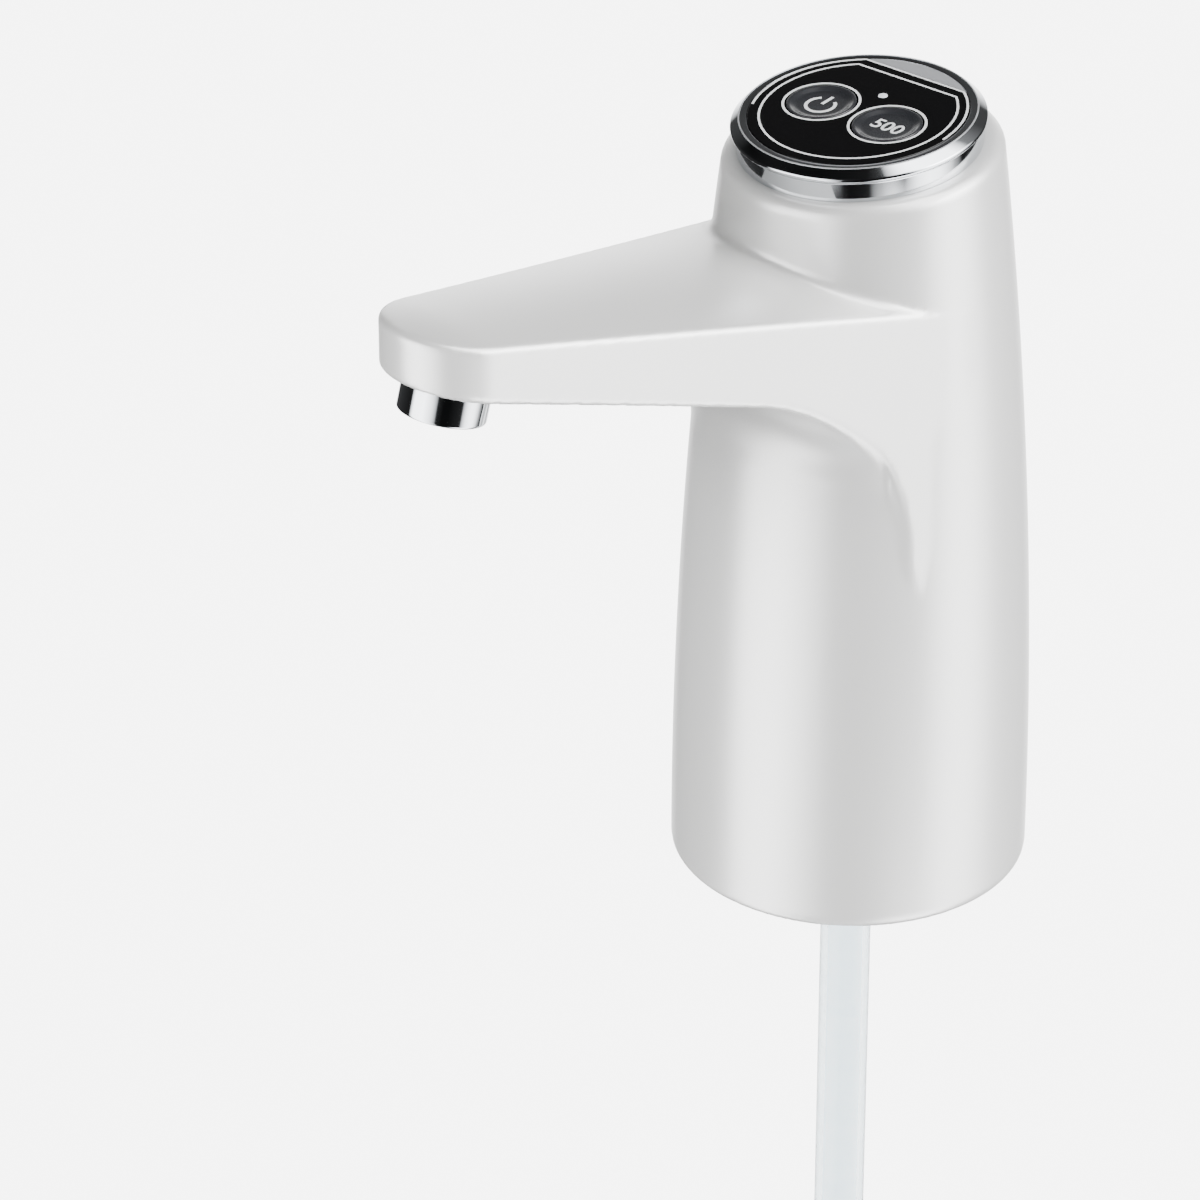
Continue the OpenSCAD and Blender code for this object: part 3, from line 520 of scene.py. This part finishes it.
def net_mesh(name, distance, low, high, step):
    """A closed quad mesh on the zero of a distance function: one point in each crossed cell."""
    axes = [np.arange(a, b + step, step) for a, b in zip(low, high)]
    grid = np.meshgrid(*axes, indexing="ij")
    value = distance(*grid)
    inside = value < 0
    shape = [len(a) - 1 for a in axes]
    total = np.zeros(shape + [3])
    crossings = np.zeros(shape)
    corner = np.array([(i, j, k) for i in (0, 1) for j in (0, 1) for k in (0, 1)])

    def window(array, c):
        return array[tuple(slice(o, o + n) for o, n in zip(c, shape))]

    for first in corner:
        for axis in range(3):
            if first[axis]:
                continue
            second = first.copy()
            second[axis] = 1
            d0, d1 = window(value, first), window(value, second)
            crossed = (d0 < 0) != (d1 < 0)
            t = np.where(crossed, d0 / np.where(crossed, d0 - d1, 1), 0)
            total += np.stack([np.where(crossed, first[i] + (t if i == axis else 0), 0)
                               for i in range(3)], -1)
            crossings += crossed
    cell = np.argwhere(crossings > 0)
    number = -np.ones(shape, int)
    at_cell = tuple(cell.T)
    number[at_cell] = np.arange(len(cell))
    places = (cell + total[at_cell] / crossings[at_cell][:, None]) * step + np.array(low)
    # Each pass moves the points down the slope, on to the zero
    for _ in range(SETTLE_PASSES):
        d = distance(*places.T)
        slope = np.stack([
            (distance(*(places + PROBE * e).T) - distance(*(places - PROBE * e).T)) / (2 * PROBE)
            for e in np.eye(3)], -1)
        move = d[:, None] * slope / np.maximum((slope ** 2).sum(1), 0.2)[:, None]
        places = places - np.clip(move, -step / 2, step / 2)

    quads = []
    for axis in range(3):
        b, c = [a for a in range(3) if a != axis]
        ahead = [slice(None)] * 3
        here = [slice(None)] * 3
        ahead[axis], here[axis] = slice(1, None), slice(None, -1)
        edge = np.argwhere(inside[tuple(here)] != inside[tuple(ahead)])
        edge = edge[(edge[:, b] > 0) & (edge[:, c] > 0)
                    & (edge[:, b] < shape[b]) & (edge[:, c] < shape[c])]
        going_out = inside[tuple(edge.T)]
        ring = []
        for db, dc in ((-1, -1), (0, -1), (0, 0), (-1, 0)):
            at = edge.copy()
            at[:, b] += db
            at[:, c] += dc
            ring.append(number[tuple(at.T)])
        ring = np.stack(ring, 1)
        flip = going_out if axis == 1 else ~going_out
        ring[flip] = ring[flip][:, ::-1]
        quads.append(ring)
    quads = np.concatenate(quads)
    mesh = bpy.data.meshes.new(name)
    mesh.from_pydata((places * MM).tolist(), [], quads.tolist())
    mesh.validate()
    shade_smooth(mesh, 50)
    return mesh


# Cell sizes of the two nets, and the box they are made in
OUTSIDE_STEP, ROOM_STEP = 0.8, 1.7
HOUSING_BOX = ((-35, -105.5, -1.5), (35, 35, 147))


def port_outline(width, height, count=16):
    """A bar with round ends, as the charging socket's mouth has."""
    half = (width - height) / 2
    return (arc(height / 2, -math.pi / 2, math.pi, count, half)
            + arc(height / 2, math.pi / 2, math.pi, count, -half))


AT_PORT = Matrix.Translation((0, PORT_FLOOR_Y, PORT_Z)) @ Matrix.Rotation(-math.pi / 2, 4, "X")


def cut(mesh, cutters):
    """The mesh with the cutters' shapes taken out of it."""
    holder = in_scene(mesh.name, mesh)
    tools = []
    for cutter in cutters:
        tool = in_scene("cutter", cutter)
        modifier = holder.modifiers.new("cut", "BOOLEAN")
        modifier.operation, modifier.solver, modifier.object = "DIFFERENCE", "MANIFOLD", tool
        tools.append(tool)
    result = as_mesh(holder, 40)
    for tool in tools:
        bpy.data.objects.remove(tool)
    return result


def peg(radius, low, high, place, segments=128):
    corners = [(0, low, 0), (radius, low, 0), (radius, high, 0), (0, high, 0)]
    return turned("peg", corners, place, segments)


housing_shell = cut(
    net_mesh("housing", housing_distance, *HOUSING_BOX, OUTSIDE_STEP),
    [net_mesh("room", room_distance, *HOUSING_BOX, ROOM_STEP),
     peg(SLEEVE_R, -5, CAVITY_Z + 0.5, Matrix()),
     peg(BEZEL_R - 1.2, -5, 5, AT_TOP),
     peg(NOZZLE_NECK_R, -3, 4, AT_NOZZLE, 64),
     flat_shape("port_hole", [port_outline(PORT_W + 0.6, PORT_H + 0.6)], 0, 20, AT_PORT)])
piece("housing", housing_shell, pearl_abs, "housing", "white_shell", "body_shell")

# Control top

LEDGE_R = PANEL_R - 1.4
SKIRT_R = BEZEL_R - 1.4
SKIRT_DEPTH = 4.9
BEZEL_SEGMENTS = 240
BAND_R = BEZEL_R - 0.8
BEVEL_R = BEZEL_R - 1.6
PANEL_Z = BEZEL_H - PANEL_T
piece("bezel", turned("bezel", [
    (LEDGE_R, -SKIRT_DEPTH, 0), (SKIRT_R, -SKIRT_DEPTH, 0.2), (SKIRT_R, 0.02, 0),
    (BAND_R, 0.02, 0.1), (BAND_R, RIM_Z - 0.9, 0.25), (BEZEL_R, RIM_Z - 0.3, 0.2),
    (BEZEL_R, RIM_Z + 0.25, 0.25), (BEVEL_R, BEZEL_H - 0.05, 0.15),
    (PANEL_R + 0.1, BEZEL_H - 0.1, 0.1), (PANEL_R + 0.1, PANEL_Z, 0),
    (LEDGE_R, PANEL_Z, 0.1)], AT_PANEL, BEZEL_SEGMENTS),
    chrome, "housing", "chrome", "bezel_ring")

# A thin light ring along the bezel's crest: a painted highlight, standing in for the light that the
# crest's edge catches all round
piece("bezel_crest_painted_highlight", turned("bezel_crest_painted_highlight", [
    (BEVEL_R - 0.16, BEZEL_H - 0.2, 0), (BEVEL_R + 0.1, BEZEL_H - 0.2, 0),
    (BEVEL_R + 0.1, BEZEL_H - 0.02, 0.06), (BEVEL_R - 0.16, BEZEL_H + 0.02, 0.06)],
    AT_PANEL, BEZEL_SEGMENTS),
    satin_silver, "housing", "chrome")

button_holes = [circle(BUTTON_R + BUTTON_GAP, s * BUTTON_X, BUTTON_Y) for s in (-1, 1)]
piece("panel", flat_shape(
    "panel", [d_outline(PANEL_R, PANEL_FLAT)] + button_holes + [circle(LENS_R, 0, LED_Y)],
    PANEL_Z, BEZEL_H, AT_PANEL, 0.12), black_acrylic, "housing", "panel_gloss", "control_panel")


def back_segment(radius, flat, count=40):
    """The sliver of the circle behind the panel's straight edge."""
    start = math.asin(flat / radius)
    return arc(radius, start, math.pi - 2 * start, count)


piece("back_segment", flat_shape(
    "back_segment", [back_segment(PANEL_R, PANEL_FLAT + 0.1)], PANEL_Z, BEZEL_H - 0.05,
    AT_PANEL, 0.1),
    satin_silver, "housing", "chrome")

INK = 0.04
LINE_W = 0.4
INNER_LINE_R, INNER_LINE_FLAT = 17.6, 13.6
RING_W = 0.45


def d_line(radius, flat, width):
    return [d_outline(radius, flat), d_outline(radius - width, flat - width)]


def back_line(radius, flat, width, reach_left, reach_right):
    """A line along the panel's straight back edge and on round both sides."""
    def path(r, f):
        corner = math.asin(f / r)
        return (arc(r, math.pi + reach_left, -(reach_left + corner), 40)
                + arc(r, corner, -(corner + reach_right), 40))
    return [path(radius, flat) + path(radius - width, flat - width)[::-1]]


# The outer line is no print but a painted highlight: a white band along the panel's back edge where
# that edge catches the light. The inner line and the button rings are print.
prints_and_painted_highlight = [("outer_line_painted_highlight", back_line(PANEL_R - 0.2, PANEL_FLAT - 0.15, LINE_W, 0.46, 0.0)),
          ("inner_line", d_line(INNER_LINE_R, INNER_LINE_FLAT, LINE_W))]
ring_r = BUTTON_R + BUTTON_GAP + 0.06
for side, label in ((-1, "left"), (1, "right")):
    prints_and_painted_highlight.append(("ring_" + label, [
        circle(r, side * BUTTON_X, BUTTON_Y) for r in (ring_r + RING_W, ring_r)]))
for label, loops in prints_and_painted_highlight:
    name = "print_" + label
    piece(name, flat_shape(name, loops, BEZEL_H - 0.01, BEZEL_H + INK, AT_PANEL),
          white_ink, "housing", "panel_gloss")

# A shallow dish with a raised edge; the flange is held back by the panel
CAP_FACE = BEZEL_H - 0.5
FLANGE_R, FLANGE_LOW, FLANGE_HIGH = BUTTON_R + 0.8, PANEL_Z - 1.6, PANEL_Z - 0.4
CAP = [(0, FLANGE_LOW, 0), (FLANGE_R, FLANGE_LOW, 0.1), (FLANGE_R, FLANGE_HIGH, 0.1),
       (BUTTON_R, FLANGE_HIGH, 0), (BUTTON_R, BEZEL_H + 0.1, 0.2),
       (BUTTON_R - 0.5, BEZEL_H + 0.12, 0.3), (BUTTON_R - 1.7, CAP_FACE, 0.5), (0, CAP_FACE, 0)]


def power_sign():
    """An open ring with a bar in its gap."""
    outer, inner, gap, half = 2.9, 2.3, math.radians(36), 0.3
    outside, inside = (arc(r, math.pi / 2 + gap, 2 * math.pi - 2 * gap, 48) for r in (outer, inner))
    return [outside + inside[::-1], [(-half, 0.4), (half, 0.4), (half, 3.4), (-half, 3.4)]]


def number_mesh(name, number, height, low, high, place):
    """A plain number as a thin plate."""
    text = bpy.data.curves.new(name, "FONT")
    text.body, text.size, text.align_x, text.align_y = number, height, "CENTER", "CENTER"
    text.extrude = (high - low) / 2
    # Thickens the strokes a little
    text.offset = 0.05
    holder = in_scene(name, text)
    mesh = as_mesh(holder)
    mesh.transform(Matrix.Scale(MM, 4) @ place @ Matrix.Translation((0, 0, (low + high) / 2)))
    return mesh


NUMBER, NUMBER_HEIGHT = "500", 4.3
for side, body, node in ((-1, "power_key", "power_button"), (1, "volume_key", "volume_button")):
    place = AT_PANEL @ Matrix.Translation((side * BUTTON_X, BUTTON_Y, 0))
    piece(node + "_cap", turned(node + "_cap", CAP, place), dark_cap, body, "button_dark", node)
    mark = node + "_mark"
    low, high = CAP_FACE - 0.01, CAP_FACE + INK
    if side < 0:
        mesh = flat_shape(mark, power_sign(), low, high, place @ Matrix.Translation((0, -0.3, 0)))
    else:
        mesh = number_mesh(mark, NUMBER, NUMBER_HEIGHT, low, high, place)
    piece(mark, mesh, white_ink, body, "button_dark")

piece("indicator_dot", turned("indicator_dot", [
    (0, LENS_LOW, 0), (LENS_R, LENS_LOW, 0), (LENS_R, PANEL_Z - 1, 0),
    (LENS_R + 0.8, PANEL_Z - 1, 0), (LENS_R + 0.8, PANEL_Z - 0.02, 0),
    (LENS_R - 0.05, PANEL_Z - 0.02, 0),
    (LENS_R - 0.05, BEZEL_H + 0.02, 0.15), (0, BEZEL_H + 0.12, 0)],
    AT_PANEL @ Matrix.Translation((0, LED_Y, 0)), 48),
    milky_lens, "housing", "lens_clear", "indicator_lens")

# Nozzle

piece("nozzle_collar", turned("nozzle_collar", [
    (NOZZLE_BORE_R, NOZZLE_STEM_TOP, 0), (NOZZLE_STEM_R, NOZZLE_STEM_TOP, 0),
    (NOZZLE_STEM_R, -SEAT_DEPTH, 0), (SEAT_R, -SEAT_DEPTH, 0), (SEAT_R, 0, 0),
    (NOZZLE_R, -0.05, 0.2), (NOZZLE_R, -NOZZLE_H, 0.5), (NOZZLE_MOUTH_R, -NOZZLE_H, 0.4),
    (NOZZLE_MOUTH_R, -INSERT_DEPTH, 0), (NOZZLE_BORE_R, -INSERT_DEPTH, 0)], AT_NOZZLE),
    chrome, "housing", "chrome", "nozzle")

# What repeats: base screws and the charging socket's contacts

def grown(name, tree, values, mesh=None):
    """The mesh that a tree of geometry nodes grows, with its named inputs set."""
    holder = in_scene(name, mesh or bpy.data.meshes.new(name))
    modifier = holder.modifiers.new(name, "NODES")
    modifier.node_group = tree
    for socket in tree.interface.items_tree:
        if socket.in_out == "INPUT" and socket.name in values:
            modifier[socket.identifier] = values[socket.name]
    return as_mesh(holder)


def new_tree(name, floats, counted=False):
    """A tree with geometry in and out, and sizes in metres and a finish as named inputs."""
    tree = bpy.data.node_groups.new(name, "GeometryNodeTree")
    tree.interface.new_socket("Geometry", in_out="INPUT", socket_type="NodeSocketGeometry")
    for label in floats:
        tree.interface.new_socket(label, in_out="INPUT", socket_type="NodeSocketFloat")
    if counted:
        tree.interface.new_socket("Count", in_out="INPUT", socket_type="NodeSocketInt")
    tree.interface.new_socket("Finish", in_out="INPUT", socket_type="NodeSocketMaterial")
    tree.interface.new_socket("Geometry", in_out="OUTPUT", socket_type="NodeSocketGeometry")
    return tree, add(tree, "NodeGroupInput").outputs


def repeated(tree, points, shape, finish):
    """Puts the shape on every point, makes it real and gives it its finish."""
    copies = add(tree, "GeometryNodeInstanceOnPoints", {"Points": points, "Instance": shape})
    real = add(tree, "GeometryNodeRealizeInstances", {"Geometry": copies.outputs["Instances"]})
    coated = add(tree, "GeometryNodeSetMaterial", {
        "Geometry": real.outputs["Geometry"], "Material": finish})
    add(tree, "NodeGroupOutput", {"Geometry": coated.outputs["Geometry"]})


def screw_tree():
    """Pan-head screws with a cross recess, head down, one on each point."""
    tree, given = new_tree("cross_recess_screws", [
        "Head Radius", "Head Height", "Shank Radius", "Shank Length"])

    def times(socket, factor):
        return add(tree, "ShaderNodeMath", {0: socket, 1: factor}, operation="MULTIPLY").outputs[0]

    def lifted(mesh, z):
        offset = add(tree, "ShaderNodeCombineXYZ", {"Z": z})
        return add(tree, "GeometryNodeTransform", {
            "Geometry": mesh, "Translation": offset.outputs["Vector"]}).outputs["Geometry"]

    head = add(tree, "GeometryNodeMeshCone", {
        "Vertices": 40, "Radius Top": given["Head Radius"],
        "Radius Bottom": times(given["Head Radius"], 0.8), "Depth": given["Head Height"]})
    head = lifted(head.outputs["Mesh"], times(given["Head Height"], -1.0))
    # Two slots of slightly different depth, so that their floors don't coincide
    for long_way, short_way, depth in (("X", "Y", -0.95), ("Y", "X", -0.97)):
        size = add(tree, "ShaderNodeCombineXYZ", {
            long_way: times(given["Head Radius"], 1.25),
            short_way: times(given["Head Radius"], 0.3), "Z": given["Head Height"]})
        slot = add(tree, "GeometryNodeMeshCube", {"Size": size.outputs["Vector"]})
        slot = lifted(slot.outputs["Mesh"], times(given["Head Height"], depth))
        slotted = add(tree, "GeometryNodeMeshBoolean", {"Mesh 1": head, "Mesh 2": slot},
                      operation="DIFFERENCE")
        head = slotted.outputs["Mesh"]
    shank = add(tree, "GeometryNodeMeshCylinder", {
        "Vertices": 24, "Radius": given["Shank Radius"], "Depth": given["Shank Length"]})
    shank = lifted(shank.outputs["Mesh"], times(given["Shank Length"], 0.5))
    whole = add(tree, "GeometryNodeJoinGeometry")
    tree.links.new(head, whole.inputs[0])
    tree.links.new(shank, whole.inputs[0])
    points = add(tree, "GeometryNodeMeshToPoints", {"Mesh": given["Geometry"]})
    repeated(tree, points.outputs["Points"], whole.outputs["Geometry"], given["Finish"])
    return tree


SCREW_HEAD_R, SCREW_HEAD_H, SCREW_R, SCREW_LENGTH = 1.9, 1.4, 1.2, 11.0
screw_points = bpy.data.meshes.new("screw_points")
screw_points.from_pydata(
    [(x * MM, y * MM, (NECK_DEPTH - 0.01) * MM) for x, y in SCREW_PLACES], [], [])
piece("base_screw_set", grown("base_screw_set", screw_tree(), {
    "Head Radius": SCREW_HEAD_R * MM, "Head Height": SCREW_HEAD_H * MM,
    "Shank Radius": SCREW_R * MM, "Shank Length": SCREW_LENGTH * MM,
    "Finish": steel}, screw_points),
    steel, "housing", "steel", "base_screws")


def contact_tree():
    """A row of flat contacts side by side."""
    tree, given = new_tree("contact_row", ["Spacing", "Width", "Length", "Thickness"], counted=True)
    offset = add(tree, "ShaderNodeCombineXYZ", {"X": given["Spacing"]})
    size = add(tree, "ShaderNodeCombineXYZ", {
        "X": given["Width"], "Y": given["Thickness"], "Z": given["Length"]})
    row = add(tree, "GeometryNodeMeshLine", {
        "Count": given["Count"], "Offset": offset.outputs["Vector"]})
    bar = add(tree, "GeometryNodeMeshCube", {"Size": size.outputs["Vector"]})
    repeated(tree, row.outputs["Mesh"], bar.outputs["Mesh"], given["Finish"])
    return tree


# The socket's tongue, with a row of contacts on each face
TONGUE_W, TONGUE_T, TONGUE_LOW, TONGUE_HIGH = 6.6, 0.7, 0.6, 5.8
CONTACTS, CONTACT_STEP = 8, 0.7
CONTACT_W, CONTACT_LENGTH, CONTACT_T = 0.32, 3.6, 0.08
piece("port_tongue", flat_shape(
    "port_tongue", [port_outline(TONGUE_W, TONGUE_T, 6)], TONGUE_LOW, TONGUE_HIGH, AT_PORT),
    black_nylon, "housing", "black_plastic")
contacts = contact_tree()
for face, label in ((-1, "upper"), (1, "lower")):
    row = grown("contacts_" + label, contacts, {
        "Spacing": CONTACT_STEP * MM, "Width": CONTACT_W * MM, "Length": CONTACT_LENGTH * MM,
        "Thickness": CONTACT_T * MM, "Count": CONTACTS, "Finish": brass})
    start = Matrix.Translation((
        -CONTACT_STEP * (CONTACTS - 1) / 2, face * TONGUE_T / 2, TONGUE_HIGH - 2.2))
    row.transform(Matrix.Scale(MM, 4) @ AT_PORT @ start @ Matrix.Scale(1 / MM, 4))
    piece("contacts_" + label, row, brass, "housing", "brass_tab")

# Hose

# Length of hose, in millimetres, that one unit of its UVs takes up
HOSE_UV = 100


def hose_mesh(route, outer, inner, sides=28):
    """A tube with its bore along a route, with UVs round and along it."""
    points = [Vector(q) for q in route]
    bm = bmesh.new()
    uv = bm.loops.layers.uv.new("UVMap")
    across = Vector((1, 0, 0))
    walls = []
    travelled = 0.0
    for i, centre in enumerate(points):
        ahead = (points[min(i + 1, len(points) - 1)] - points[max(i - 1, 0)]).normalized()
        across = (across - ahead * across.dot(ahead)).normalized()
        up = ahead.cross(across)
        travelled += (centre - points[max(i - 1, 0)]).length
        angle = [2 * math.pi * k / sides for k in range(sides)]
        walls.append((travelled, [
            [bm.verts.new(centre + r * (across * math.cos(a) + up * math.sin(a))) for a in angle]
            for r in (outer, inner)]))

    def band(one, two, v1, v2, turn):
        for k in range(sides):
            ring = [one[k], one[(k + 1) % sides], two[(k + 1) % sides], two[k]]
            spots = [(k / sides, v1), ((k + 1) / sides, v1), ((k + 1) / sides, v2), (k / sides, v2)]
            face = bm.faces.new(ring[::turn])
            for loop, spot in zip(face.loops, spots[::turn]):
                loop[uv].uv = spot

    for (v1, (out1, in1)), (v2, (out2, in2)) in zip(walls, walls[1:]):
        band(out1, out2, v1 / HOSE_UV, v2 / HOSE_UV, 1)
        band(in1, in2, v1 / HOSE_UV, v2 / HOSE_UV, -1)
    band(walls[0][1][1], walls[0][1][0], 0, 0.01, 1)
    band(walls[-1][1][0], walls[-1][1][1], 0, 0.01, 1)
    bmesh.ops.recalc_face_normals(bm, faces=bm.faces)
    bm.transform(Matrix.Scale(MM, 4))
    mesh = bpy.data.meshes.new("suction_hose_tube")
    bm.to_mesh(mesh)
    bm.free()
    shade_smooth(mesh)
    return mesh


hose_line = smooth_route(HOSE_ROUTE, 8)
hose = piece("suction_hose_tube", hose_mesh(hose_line, HOSE_R, HOSE_BORE_R), silicone,
             "housing", "clear_silicone", "suction_hose")

# Floor, light and camera

floor_mesh = bpy.data.meshes.new("floor")
FLOOR_HALF = 6.0
floor_mesh.from_pydata(
    [(x * FLOOR_HALF, y * FLOOR_HALF, FLOOR_Z * MM)
     for x, y in ((-1, -1), (1, -1), (1, 1), (-1, 1))],
    [], [(0, 1, 2, 3)])
floor = in_scene("floor", floor_mesh)
floor_finish, _, _ = surface("pale_floor", Base_Color=linear("#F4F4F4"), Roughness=0.9,
                             Emission_Color=linear("#FFFFFF"), Emission_Strength=5.0)
floor_mesh.materials.append(floor_finish)
# The floor shows and takes shadows, but gives the object none of its own light back
floor.visible_diffuse = floor.visible_glossy = floor.visible_shadow = False

# Two tall soft strips of light either side of the viewpoint and a faint glow behind, as pairs of
# degrees to its right and level: near the floor, below eye level, at eye level and above
STRIPS = {
    "bottom": [(-180, 0.002), (-108, 0.004), (-90, 0.25), (-74, 0.9), (-54, 1.0), (-44, 0.5),
               (-28, 0.01), (-8, 0.001), (12, 0.004), (24, 0.3), (36, 0.9), (72, 1.0), (86, 0.35),
               (98, 0.03), (180, 0.006)],
    "low": [(-180, 0.6), (-166, 0.5), (-152, 0.01), (-120, 0.006), (-84, 0.002), (-74, 0.9),
            (-48, 1.0), (-28, 0.5), (-14, 0.004), (0, 0.001), (14, 0.001), (46, 0.004),
            (60, 0.62), (72, 0.85), (84, 0.75),
            (102, 0.12), (112, 0.002), (152, 0.01), (166, 0.5), (180, 0.6)],
    "eye": [(-180, 0.012), (-140, 0.01), (-122, 0.001), (-84, 0.002), (-66, 0.65), (-38, 0.65),
            (-24, 0.01), (0, 0.002), (38, 0.01), (54, 1.1), (64, 2.2), (88, 2.0), (102, 0.8),
            (114, 0.05), (136, 0.012), (180, 0.012)],
    "top": [(-180, 0.004), (-60, 0.001), (0, 0.002), (20, 0.01), (44, 0.8), (60, 1.0), (102, 0.9),
            (116, 0.05), (150, 0.004), (180, 0.004)],
}
# Heights (sine of the elevation) over which each takes over from the one below, the floor first
RISES = {"bottom": (-0.93, -0.86), "low": (-0.64, -0.54), "eye": (-0.05, 0.45), "top": (0.5, 0.66)}
FLOOR_GLOW = "#484848"
STRIP_STRENGTH = 7.6
BACKDROP = 6.5
# Where the camera stands, in degrees, and how far its aim is turned from the base's centre
STAND_AZIMUTH, STAND_ELEVATION = 48.0, 31.3
AIM_TURN, AIM_TILT = 2.86, -2.3
VIEW_AZIMUTH, VIEW_ELEVATION = math.radians(STAND_AZIMUTH), math.radians(STAND_ELEVATION)


def level_ramp(tree, turn, stops):
    """Light level round the object, from a turn between 0 and 1."""
    node = add(tree, "ShaderNodeValToRGB", {"Fac": turn})
    points = node.color_ramp.elements
    while len(points) < len(stops):
        points.new(0.5)
    for point, (degrees, level) in zip(points, stops):
        point.position = (degrees + 180) / 360
        point.color = (level, level, level, 1)
    return node.outputs["Color"]


def studio_light():
    """The strips as a sky; the camera itself sees a plain pale backdrop."""
    world = bpy.data.worlds.new("studio")
    bpy.context.scene.world = world
    world.use_nodes = True
    tree = world.node_tree
    strips = tree.nodes["Background"]
    where = add(tree, "ShaderNodeTexCoord").outputs["Generated"]
    ahead = (math.sin(VIEW_AZIMUTH), -math.cos(VIEW_AZIMUTH), 0)
    aside = (math.cos(VIEW_AZIMUTH), math.sin(VIEW_AZIMUTH), 0)
    sideways, forward = (
        add(tree, "ShaderNodeVectorMath", {0: where, 1: way}, operation="DOT_PRODUCT")
        for way in (aside, ahead))
    angle = add(tree, "ShaderNodeMath", {
        0: sideways.outputs["Value"], 1: forward.outputs["Value"]}, operation="ARCTAN2")
    turn = add(tree, "ShaderNodeMapRange", {
        "Value": angle.outputs["Value"], "From Min": -math.pi, "From Max": math.pi})
    height = add(tree, "ShaderNodeSeparateXYZ", {"Vector": where}).outputs["Z"]
    level = FLOOR_GLOW
    for band, (start, end) in RISES.items():
        rise = add(tree, "ShaderNodeMapRange", {
            "Value": height, "From Min": start, "From Max": end})
        around = level_ramp(tree, turn.outputs["Result"], STRIPS[band])
        level = mixed(tree, rise.outputs["Result"], level, around)
    tree.links.new(level, strips.inputs["Color"])
    strips.inputs["Strength"].default_value = STRIP_STRENGTH
    plain = add(tree, "ShaderNodeBackground", {"Color": linear("#FFFFFF"), "Strength": BACKDROP})
    seen = add(tree, "ShaderNodeLightPath").outputs["Is Camera Ray"]
    both = add(tree, "ShaderNodeMixShader", {0: seen, 1: strips.outputs[0], 2: plain.outputs[0]})
    tree.links.new(both.outputs[0], tree.nodes["World Output"].inputs["Surface"])


studio_light()

# The photograph's viewpoint, for a picture 1200 pixels square
PHOTO_SIZE = 1200.0
SENSOR_MM = 36.0
FOCAL_PIXELS = 5797.0
VIEW_DISTANCE = 1086.0
LOOK_AZIMUTH = math.radians(STAND_AZIMUTH + AIM_TURN)
LOOK_ELEVATION = math.radians(STAND_ELEVATION + AIM_TILT)


def back_direction(azimuth, elevation):
    level = math.cos(elevation)
    return Vector((math.sin(azimuth) * level, -math.cos(azimuth) * level, math.sin(elevation)))


lens_data = bpy.data.cameras.new("photo_camera")
lens_data.sensor_width = SENSOR_MM
lens_data.lens = FOCAL_PIXELS / PHOTO_SIZE * SENSOR_MM
lens_data.clip_end = 50
camera = in_scene("photo_camera", lens_data)
back = back_direction(LOOK_AZIMUTH, LOOK_ELEVATION)
right = Vector((math.cos(LOOK_AZIMUTH), math.sin(LOOK_AZIMUTH), 0))
turn = Matrix((right, back.cross(right), back)).transposed().to_4x4()
camera.matrix_world = Matrix.Translation(
    back_direction(VIEW_AZIMUTH, VIEW_ELEVATION) * VIEW_DISTANCE * MM) @ turn
bpy.context.scene.camera = camera
